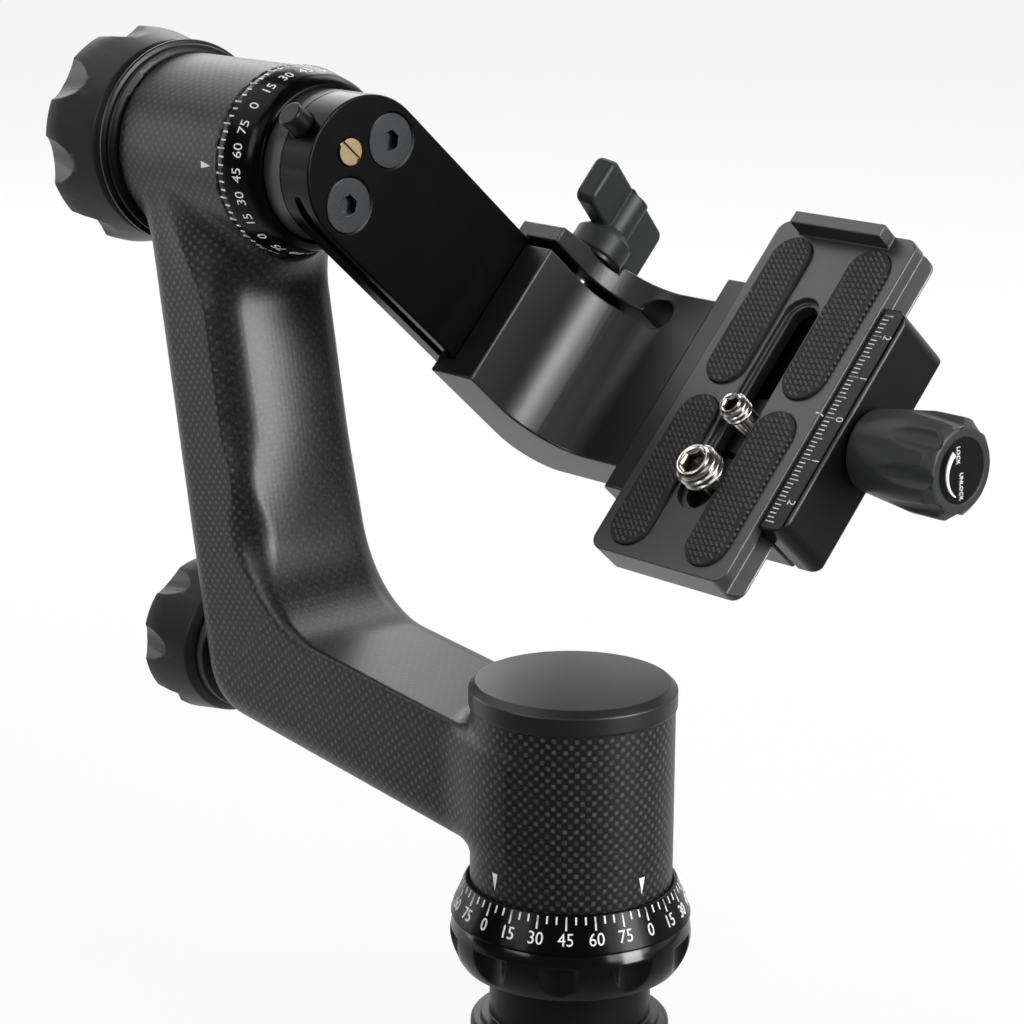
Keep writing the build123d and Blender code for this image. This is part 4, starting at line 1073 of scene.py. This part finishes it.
class GIMBAL_OT_dials(bpy.types.Operator):
    """Prints the degree scales of the pan and tilt dials and their index marks"""
    bl_idname = "gimbal.dials"
    bl_label = "Degree dials"

    def execute(self, context):
        tree = tick_tree()
        self.pan_marks(tree)
        self.tilt_marks(tree)
        return {"FINISHED"}

    def pan_marks(self, tree):
        dial, shape = PAN_DIAL, ArmShape()
        r0, r1, z0 = dial["r0"], dial["r1"], dial["z0"]
        z1 = top_of("pan_scale_ring")
        slope = (r0 - r1) / (z1 - z0)
        parts = []
        for count, length in dial["ticks"]:
            middle = z1 - dial["edge"] - length / 2
            parts.append(ring_marks("pan_ticks", tree, count, r1 + slope * (z1 - middle), middle,
                                    length, -math.atan(slope), math.radians(dial["zero"])))
        foot = Vector((0, 0, z0 * MM))
        parts.append(dial_numbers("pan_numbers", dial, 1, lambda turn: cone_place(
            foot, Z_AXIS, X_AXIS, r0, r1, z1 - z0, turn)))
        finish_piece(joined("pan_dial_marks", parts), "base", "black_anodised", "paint")
        index = Marks()
        low = z1 + dial["pointer_gap"]
        high = low + dial["pointer_run"]
        for turn in map(math.radians, dial["pointers"]):
            index.pointer(cone_place(Vector((0, 0, low * MM)), Z_AXIS, X_AXIS,
                                     shape.reach(turn, low), shape.reach(turn, high),
                                     high - low, turn), dial["pointer"])
        finish_piece(index.piece("pan_index_marks"), "arm", "carbon", "paint")

    def tilt_marks(self, tree):
        dial, centre = TILT_DIAL, Vector((0, 0, HUB_Z * MM))
        turned = Matrix.Rotation(math.radians(dial["zero"]), 4, "X") @ RING_TO_HUB
        parts = []
        for count, length in dial["ticks"]:
            ticks = ring_marks("tilt_ticks", tree, count, dial["r1"],
                               dial["ticks_x"] - length / 2, length, 0.0, 0.0)
            ticks.data.transform(Matrix.Translation(centre) @ turned)
            parts.append(ticks)
        foot = centre + X_AXIS * dial["x0"] * MM
        parts.append(dial_numbers("tilt_numbers", dial, -1, lambda turn: cone_place(
            foot, -X_AXIS, Y_AXIS, dial["r0"], dial["r1"], dial["x0"] - dial["x1"], -turn)))
        finish_piece(joined("tilt_dial_marks", parts), "swing", "black_anodised", "paint")
        index = Marks()
        foot = centre + X_AXIS * dial["pointer_x"] * MM
        index.pointer(cone_place(foot, -X_AXIS, Y_AXIS, ARM["hub_r"], ARM["hub_r"],
                                 dial["pointer_run"], math.pi), dial["pointer"])
        finish_piece(index.piece("tilt_index_mark"), "arm", "carbon", "paint")


# Places in the swing's own directions: x, and d down the swing plate, in millimetres.
PLATE_X = -0.15             # middle of the camera plate
PLATE_EDGE = 19.0
PLATE_TOP_D = 65.67
SCALE = {
    "d": 66.6, "x": 20.0, "rows": ((51, 1.0, 1.6), (11, 5.0, 2.3), (5, 10.0, 2.3)), "width": 0.26,
    "numbers": (-2, -1, 0, 1, 2), "numbers_x": 23.6, "number": 2.6,
}
KNOB_END = {
    "x": 50.1, "d": 77.0, "r": 5.45, "from": 174.0, "turn": 108.0, "half": 0.62, "taper": 0.5,
    "steps": 24, "words": (("LOCK", -4.3, 1.0), ("UNLOCK", 1.0, -2.9)), "word": 1.35,
}
PLATE_INDEX = {"top": (-1.1, -0.2, -0.15, 0.15), "side": (-0.15, 0.15, -2.6, -0.2)}
# Turns a part made flat, with its height along z, to stand on the camera plate or the jaw.
ON_PLATE = Matrix((X_AXIS, ALONG, -DOWN)).transposed().to_4x4()


def stood(piece, x, d, e):
    """Stands a flat piece at a place on the plate or the jaw."""
    piece.data.transform(Matrix.Translation(swing_point(x, d, e)) @ ON_PLATE)
    return piece


class GIMBAL_OT_scale(bpy.types.Operator):
    """Prints the scale on the clamp jaw, the index line on the plate and the knob's arrow"""
    bl_idname = "gimbal.scale"
    bl_label = "Clamp scale"

    def execute(self, context):
        tree = row_tree()
        parts = [stood(row_marks("scale_ticks", tree, count, pitch, length, SCALE["width"],
                                 BAR_DEPTH, "paint"), SCALE["x"], SCALE["d"] + bar_sink(), 0.0)
                 for count, pitch, length in SCALE["rows"]]
        numbers = Marks()
        for value in SCALE["numbers"]:
            centre = swing_point(SCALE["numbers_x"], SCALE["d"], value * 10.0)
            numbers.words(flat_place(centre, -ALONG, X_AXIS), str(abs(value)), SCALE["number"])
        parts.append(numbers.piece("scale_numbers"))
        finish_piece(joined("clamp_scale_marks", parts), "jaw", "black_cradle", "paint")
        index = Marks()
        corner = swing_point(PLATE_EDGE, PLATE_TOP_D, 0.0)
        index.bar(flat_place(corner, X_AXIS, ALONG), *PLATE_INDEX["top"])
        index.bar(flat_place(corner, -ALONG, -DOWN), *PLATE_INDEX["side"])
        finish_piece(index.piece("plate_index_mark"), "plate", "black_anodised", "paint")
        self.knob_marks(KNOB_END)
        return {"FINISHED"}

    def knob_marks(self, end):
        """A tapered turning arrow and two words on the end of the clamp knob."""
        marks, points, steps = Marks(), [], end["steps"]
        place = flat_place(swing_point(end["x"], end["d"], 0.0), DOWN, ALONG)
        for i in range(steps + 1):
            angle = math.radians(end["from"] + end["turn"] * i / steps)
            half = end["half"] - end["taper"] * i / steps
            for r in (end["r"] - half, end["r"] + half):
                points.append((r * math.cos(angle), r * math.sin(angle)))
        faces = [(i, i + 1, i + 3, i + 2) for i in range(0, 2 * steps, 2)]
        marks.put(points, faces, place)
        reading = (DOWN - ALONG).normalized(), (DOWN + ALONG).normalized()
        for words, d, e in end["words"]:
            centre = swing_point(end["x"], end["d"] + d, e)
            marks.words(flat_place(centre, *reading), words, end["word"])
        finish_piece(marks.piece("clamp_knob_arrow"), "clamp_knob_turn", "grip", "paint")


# ======== rubber pads
# Middle and half sizes of a pad, its ribs and the lugs along its edge, in millimetres.
PAD = {
    "x": 10.8, "e": 20.2, "half": 5.2, "straight": 13.3, "top": 64.97, "angle": -39.0,
    "rim": 0.75, "columns": 26, "rows": 44, "rib_width": 0.62, "rib_height": 0.5, "rib_gap": 0.30,
    "lugs": (20, 1.35, 0.5, 0.55, 0.6), "lug_in": 0.2, "lug_down": 0.35,
}
RIB_TOP = (0.78, 0.5, 1.0)      # how far a rib narrows to its top


def rib_tree(name="Field of ribs"):
    """Geometry Nodes: small raised ribs in brick order over a round-ended pad, with named sizes."""
    make, given = new_tree(
        "GeometryNodeTree", name,
        [("Columns", COUNT, 30), ("Rows", COUNT, 50), ("Half width", FLOAT, 0.005),
         ("Half straight", FLOAT, 0.013), ("Rib length", FLOAT, 0.0016),
         ("Rib width", FLOAT, 0.0006), ("Rib height", FLOAT, 0.0005), ("Rib gap", FLOAT, 0.0003),
         ("Row pitch", FLOAT, 0.0009), ("Angle", FLOAT, 0.0), ("Finish", MATERIAL, None)],
        [("Geometry", GEOMETRY)])
    index = make.add("GeometryNodeInputIndex").outputs[0]
    columns, rows = given["Columns"], given["Rows"]
    column = make.math("FLOORED_MODULO", index, columns)
    row = make.math("FLOOR", make.math("DIVIDE", make.plus(index, 0.5), columns))
    brick = make.times(make.math("FLOORED_MODULO", row, 2.0), 0.5)
    step = make.plus(given["Rib length"], given["Rib gap"])
    from_middle = make.minus(column, make.math("DIVIDE", columns, 2.0))
    u = make.times(make.plus(from_middle, brick), step)
    v = make.times(make.minus(row, make.math("DIVIDE", rows, 2.0)), given["Row pitch"])
    cosine, sine = make.math("COSINE", given["Angle"]), make.math("SINE", given["Angle"])
    x = make.minus(make.times(u, cosine), make.times(v, sine))
    y = make.plus(make.times(u, sine), make.times(v, cosine))
    past = make.math("MAXIMUM", make.minus(make.math("ABSOLUTE", y), given["Half straight"]), 0.0)
    reach = make.math("SQRT", make.plus(make.times(x, x), make.times(past, past)))
    kept = make.math("LESS_THAN", reach, given["Half width"])
    points = point_row(make, make.times(columns, rows), make.vector(x, y))
    flat = block(make, given["Rib length"], given["Rib width"], given["Rib height"])
    at = make.add("GeometryNodeInputPosition").outputs[0]
    high = make.math("GREATER_THAN", make.split(at)[2], 0.0)
    narrow = make.add("ShaderNodeVectorMath", {"operation": "MULTIPLY"}, in_0=at, in_1=RIB_TOP)
    rib = make.add("GeometryNodeSetPosition", Geometry=flat, Selection=high,
                   Position=narrow.outputs[0]).outputs[0]
    return grow_painted(make, given, points, rib, Selection=kept,
                        Rotation=make.vector(z=given["Angle"]))


class GIMBAL_OT_pads(bpy.types.Operator):
    """Raises the ribs of the four rubber pads and the lugs along their outer edges"""
    bl_idname = "gimbal.pads"
    bl_label = "Rubber pads"

    def execute(self, context):
        ribs, lugs = rib_tree(), row_tree("Row of lugs")
        parts = []
        for side in (-1, 1):
            for end in (-1, 1):
                x, e = side * PAD["x"] + PLATE_X, end * PAD["e"]
                field = grown("pad_ribs", ribs, {
                    "Columns": PAD["columns"], "Rows": PAD["rows"],
                    "Half width": (PAD["half"] - PAD["rim"]) * MM,
                    "Half straight": PAD["straight"] * MM, "Rib length": sizes().pad_rib,
                    "Rib width": PAD["rib_width"] * MM, "Rib height": PAD["rib_height"] * MM,
                    "Rib gap": PAD["rib_gap"] * MM, "Row pitch": sizes().pad_pitch,
                    "Angle": math.radians(PAD["angle"]), "Finish": material("rib")})
                parts.append(stood(field, x, PAD["top"], e))
                if side > 0:
                    row = row_marks("pad_lugs", lugs, *PAD["lugs"], "pad")
                    parts.append(stood(row, x + PAD["half"] - PAD["lug_in"],
                                       PAD["top"] + PAD["lug_down"], e))
        finish_piece(joined("pad_ribs_and_lugs", parts), "plate", "pad", "rib")
        return {"FINISHED"}


# ======== camera screws
SCREWS = (
    # node, body, then in mm its place along the plate, its radius and how proud it stands,
    # and the name of its pitch
    ("camera_screw_large", "large_screw", -19.0, 4.76, 5.6, "large_pitch"),
    ("camera_screw_small", "small_screw", -4.2, 3.175, 4.6, "small_pitch"),
)
ROUND = 60              # points round a thread
RINGS = 16              # rings of points in one turn of the thread
THREAD_FOOT = 0.25      # how far a thread starts under the plate's top, in mm
THREAD_DEPTH = 0.58     # depth of a thread, as a share of its pitch
SOCKET = 0.50           # half width of the hex socket, as a share of the radius
TIP, TIP_SLOPE = 0.9, 0.8       # the tapered tip: its length in pitches, and its slope
CREST, FLANK = 1.12, 2.4        # the thread's height before it is cut flat, and its slope
PLAIN_END_SHADE = 0.9              # how dark the painted shade on the plain end of a screw is
DARK_DEPTH = 1.5        # how deep in the socket the painted shade is full, in mm
SOCKET_RINGS = (
    # a hexagon or round, its size, and how deep it lies in mm
    (False, 1.45, 0.0), (False, 1.35, 0.05), (True, 1.0, 0.45), (True, 1.0, 2.4),
)


def thread_ridge(phase):
    """How proud the thread stands at a phase of its turn, with flat crests and roots."""
    return min(1.0, max(0.0, CREST - abs(phase - 0.5) * FLANK))


def thread_points(radius, pitch, length, depth):
    """A threaded rod with a hex socket: points in mm, faces, and how deep each point lies, which sets its painted
    shade.
    """
    rings, n = int(length / pitch * RINGS), ROUND
    points, faces, depths = [], [], []

    def walls(foot, top):
        for j in range(n):
            k = (j + 1) % n
            faces.append((foot + j, foot + k, top + k, top + j))

    for i in range(rings + 1):
        z = length * i / rings
        taper = max(0.0, z - (length - TIP * pitch)) * TIP_SLOPE
        for j in range(n):
            angle = math.tau * j / n
            ridge = thread_ridge((z / pitch - j / n) % 1.0)
            r = min(radius - depth * (1.0 - ridge), radius - taper)
            points.append((r * math.cos(angle), r * math.sin(angle), z))
            depths.append(1.0 - ridge)
    for i in range(rings):
        walls(i * n, (i + 1) * n)
    for hexagon, grow, sink in SOCKET_RINGS:
        start = len(points)
        for j in range(n):
            angle = math.tau * j / n
            r = radius * SOCKET * grow
            if hexagon:
                r /= math.cos((angle + math.pi / 6) % (math.pi / 3) - math.pi / 6)
            points.append((r * math.cos(angle), r * math.sin(angle), length - sink))
            depths.append(min(sink / DARK_DEPTH, 1.0))
        walls(start - n, start)
    faces.append(tuple(range(len(points) - n, len(points))))
    faces.append(tuple(reversed(range(n))))
    return points, faces, depths


class GIMBAL_OT_screws(bpy.types.Operator):
    """Cuts real threads on the two camera screws"""
    bl_idname = "gimbal.screws"
    bl_label = "Camera screws"

    def execute(self, context):
        for node, body, e, radius, proud, pitch in SCREWS:
            self.cut(node, body, e, radius, proud, getattr(sizes(), pitch) / MM)
        return {"FINISHED"}

    def cut(self, node, body, e, radius, proud, pitch):
        """Takes off a screw's plain end and stands a threaded one in its place."""
        piece = merged_copy(node, node + "_thread")
        foot = PLATE_TOP_D - THREAD_FOOT
        work = bmesh.new()
        work.from_mesh(piece.data)
        everything = [*work.verts, *work.edges, *work.faces]
        bmesh.ops.bisect_plane(work, geom=everything, dist=1e-7, plane_co=swing_point(0, foot, 0),
                               plane_no=-DOWN, clear_outer=True)
        open_edges = [edge for edge in work.edges if edge.is_boundary]
        bmesh.ops.holes_fill(work, edges=open_edges, sides=0)
        stand = Matrix((X_AXIS, -ALONG, -DOWN)).transposed().to_4x4()
        stand = Matrix.Translation(swing_point(PLATE_X, foot, e)) @ stand
        points, faces, depths = thread_points(radius, pitch, proud - THREAD_FOOT,
                                              pitch * THREAD_DEPTH)
        plain = len(work.verts)
        made = [work.verts.new(stand @ (Vector(point) * MM)) for point in points]
        for face in faces:
            work.faces.new([made[i] for i in face])
        bmesh.ops.recalc_face_normals(work, faces=work.faces)
        work.to_mesh(piece.data)
        work.free()
        smooth(piece, angle=50.0)
        # the depth sets the painted shade of the thread roots, the socket and the plain end
        layer = piece.data.attributes.new("depth", "FLOAT", "POINT")
        layer.data.foreach_set("value", [PLAIN_END_SHADE] * plain + depths)
        finish_piece(piece, body, "screw_steel", "screw_steel", node)


# ======== carried-over parts
CARRIED = {
    # finish: the nodes that carry it
    "steel": ("pan_spindle", "pan_bearing_inner_races", "pan_bearing_outer_races",
              "pan_bearing_balls", "tilt_bearing_inner_races", "tilt_bearing_outer_races",
              "tilt_bearing_balls", "brake_push_rod", "tilt_thrust_washer", "clamp_stud",
              "jaw_guide_pins", "wing_stud"),
    "black_steel": ("base_screws", "scale_ring_screws", "pan_lock_nut", "stop_pin",
                    "lever_washer", "safety_screws", "large_screw_washer", "small_screw_washer"),
    "screw_steel": ("camera_screw_large", "camera_screw_small"),
    "brass": ("pan_knob_core", "tilt_knob_core", "brass_screw"), "nylon": ("brake_shoe",),
    "anodised": ("column_sleeve", "hub_sleeve"), "flange": ("tilt_spindle",),
    "silver": ("swing_screws",), "disc": ("clamp_knob_disc",), "pad": ("plate_pads",),
    "lever": ("wing_lever",), "carbon": ("carbon_arm",),
}


class GIMBAL_OT_finishes(bpy.types.Operator):
    """Gives every part that is used as it is its own finish"""
    bl_idname = "gimbal.finishes"
    bl_label = "Finishes of the other parts"

    def execute(self, context):
        finishes = {node: key for key, nodes in CARRIED.items() for node in nodes}
        finishes.update({node: row[2] for node, row in BROKEN_EDGES.items()})
        for node, piece in frame["nodes"].items():
            if not piece.material_slots:
                raise RuntimeError(f"{node} has no material slot")
            for slot in piece.material_slots:
                slot.material = material(finishes[node])
        return {"FINISHED"}


# ======== stage
CAMERA_AT = (0.39727, -0.36917, 0.25134)
CAMERA_YAW, CAMERA_PITCH, CAMERA_ROLL = 48.41, -14.5, 0.36
CAMERA_LENS = 100.61

BACKDROP_SIDE = (-0.35, 0.85, -0.55)    # the white backdrop is behind the head
BACKDROP_FADE = (0.05, 0.50)            # how much it faces that way where it turns white
ROOM_LEVEL = 0.08                       # how bright the room is on the near side
SOFT_LEVEL = 0.28                       # plain light from all round
FLOOR_HALF, FLOOR_SINK = 3.0, 0.0002    # half its side, and how far under the head it lies
NEAR_FADE = (-0.10, 0.06)               # where the near floor turns dark in reflections
RIGHT_FADE = (0.2, 0.6)                 # where the floor on the right does
TOWARDS_NEAR = (0.8, -0.6)              # which way the near floor lies, along x and y
FLOOR_GLOW = 0.9                        # share of the plain white where the floor is seen
FLOOR_GREY = (0.8, 0.8, 0.8, 1.0)

LAMPS = (
    # name, where from, distance, width, height, power, seen only in reflections
    ("Right softbox", (0.90, 0.20, 0.38), 1.3, 1.0, 0.9, 17.0, False),
    ("Right strip softbox", (0.93, 0.25, 0.18), 1.3, 0.42, 0.8, 20.0, True),
    ("Near softbox", (-0.05, -0.88, 0.42), 1.4, 0.6, 0.7, 9.0, True),
    ("Back softbox", (-0.85, 0.35, 0.48), 1.4, 1.0, 0.6, 5.5, False),
    ("Top softbox", (-0.2, 0.7, 0.75), 1.4, 0.7, 0.7, 7.0, False),
    ("Overhead softbox", (-0.50, -0.35, 0.80), 1.4, 1.1, 1.0, 6.5, False),
    ("Left softbox", (-0.95, -0.36, 0.10), 1.5, 0.8, 0.9, 7.0, False),
    ("Front softbox", (0.6, -0.9, 0.9), 1.8, 0.9, 0.9, 4.0, False),
)


WHITE = (1.0, 1.0, 1.0, 1.0)


def seen_level(make, level):
    """The given brightness, but plain white straight from the camera."""
    return make.math("MAXIMUM", level, make.add("ShaderNodeLightPath").outputs["Is Camera Ray"])


def see_background(make):
    """1 for rays that should meet the plain white background."""
    path = make.add("ShaderNodeLightPath").outputs
    seen = make.math("MAXIMUM", path["Is Camera Ray"], path["Is Glossy Ray"])
    return make.math("MAXIMUM", seen, path["Is Transmission Ray"])


class GIMBAL_OT_stage(bpy.types.Operator):
    """Sets up the pale floor, the soft lamps, the background and the camera"""
    bl_idname = "gimbal.stage"
    bl_label = "Stage and camera"

    def execute(self, context):
        scene = context.scene
        scene.view_settings.view_transform = "Standard"
        self.background(scene)
        self.floor()
        self.lamps()
        self.camera(scene)
        return {"FINISHED"}

    def background(self, scene):
        world = bpy.data.worlds.new("Plain studio")
        scene.world = world
        world.use_nodes = True
        world.node_tree.nodes.clear()
        make = Tree(world.node_tree)
        facing = make.add("ShaderNodeVectorMath", {"operation": "DOT_PRODUCT"},
                          in_0=make.add("ShaderNodeTexCoord").outputs["Generated"],
                          in_1=BACKDROP_SIDE)
        room = make.ramp(facing.outputs["Value"], *BACKDROP_FADE, ROOM_LEVEL, 1.0)
        seen = seen_level(make, room)
        level = make.times(make.ramp(see_background(make), 0.0, 1.0, SOFT_LEVEL, 1.0), seen)
        light = make.add("ShaderNodeBackground", Color=WHITE, Strength=level)
        make.add("ShaderNodeOutputWorld", Surface=light.outputs[0])

    def floor(self):
        corners = [(x * FLOOR_HALF, y * FLOOR_HALF, -FLOOR_SINK)
                   for x, y in ((-1, -1), (1, -1), (1, 1), (-1, 1))]
        floor = mesh_object("floor", corners, [(0, 1, 2, 3)])
        made = bpy.data.materials.new("Pale floor")
        made.use_nodes = True
        made.node_tree.nodes.clear()
        make = Tree(made.node_tree)
        x, y, _ = make.split(make.place())
        towards = make.plus(make.times(x, TOWARDS_NEAR[0]), make.times(y, TOWARDS_NEAR[1]))
        near = make.ramp(towards, *NEAR_FADE, 1.0, ROOM_LEVEL)
        right = make.ramp(make.plus(x, y), *RIGHT_FADE, 1.0, ROOM_LEVEL)
        matt = make.add("ShaderNodeBsdfDiffuse", Color=FLOOR_GREY).outputs[0]
        glow = make.add("ShaderNodeEmission", Color=WHITE,
                        Strength=seen_level(make, make.math("MINIMUM", near, right)))
        share = make.ramp(see_background(make), 0.0, 1.0, 0.0, FLOOR_GLOW)
        both = make.add("ShaderNodeMixShader", in_0=share, in_1=matt, in_2=glow.outputs[0])
        make.add("ShaderNodeOutputMaterial", Surface=both.outputs[0])
        floor.data.materials.append(made)

    def lamps(self):
        middle = (Vector(CAD_BOX[0]) + Vector(CAD_BOX[1])) / 2
        for name, direction, distance, width, height, power, mirror in LAMPS:
            lamp = bpy.data.lights.new(name, "AREA")
            lamp.shape = "RECTANGLE"
            lamp.size, lamp.size_y = width, height
            lamp.energy = power
            holder = new_object(name, lamp)
            away = Vector(direction).normalized()
            holder.location = middle + away * distance
            holder.rotation_euler = away.to_track_quat("Z", "Y").to_euler()
            holder.visible_camera = False
            holder.visible_diffuse = not mirror

    def camera(self, scene):
        lens = bpy.data.cameras.new("Camera")
        lens.lens = CAMERA_LENS
        lens.sensor_width = 36.0
        lens.clip_start, lens.clip_end = 0.01, 20.0
        camera = new_object("Camera", lens)
        turn = Matrix.Rotation(math.radians(CAMERA_YAW), 4, "Z")
        tip = Matrix.Rotation(math.radians(90.0 + CAMERA_PITCH), 4, "X")
        roll = Matrix.Rotation(math.radians(CAMERA_ROLL), 4, "Z")
        camera.matrix_world = Matrix.Translation(CAMERA_AT) @ turn @ tip @ roll
        scene.camera = camera


# ======== add-on
class GIMBAL_PT_panel(bpy.types.Panel):
    """Lists the pieces in the 3D view's sidebar"""
    bl_idname = "GIMBAL_PT_panel"
    bl_label = "Gimbal head"
    bl_space_type = "VIEW_3D"
    bl_region_type = "UI"
    bl_category = "Gimbal head"

    def draw(self, context):
        for settings in (context.scene.gimbal_sizes, context.scene.gimbal_finish):
            for name in settings.__annotations__:
                self.layout.prop(settings, name)
        for operator in OPERATORS:
            self.layout.operator(operator.bl_idname)


OPERATORS = (GIMBAL_OT_stage, GIMBAL_OT_finishes, GIMBAL_OT_arm, GIMBAL_OT_metal, GIMBAL_OT_dials,
             GIMBAL_OT_scale, GIMBAL_OT_pads, GIMBAL_OT_screws)
CLASSES = (GimbalSizes, GimbalFinish, *OPERATORS, GIMBAL_PT_panel)


def register():
    for one in CLASSES:
        bpy.utils.register_class(one)
    bpy.types.Scene.gimbal_sizes = bpy.props.PointerProperty(type=GimbalSizes)
    bpy.types.Scene.gimbal_finish = bpy.props.PointerProperty(type=GimbalFinish)


def unregister():
    del bpy.types.Scene.gimbal_finish
    del bpy.types.Scene.gimbal_sizes
    for one in reversed(CLASSES):
        bpy.utils.unregister_class(one)


def plain(box):
    return [[float(value) for value in corner] for corner in box]


def main():
    register()
    for operator in OPERATORS:
        group, name = operator.bl_idname.split(".")
        getattr(getattr(bpy.ops, group), name)()


if __name__ == "__main__":
    main()
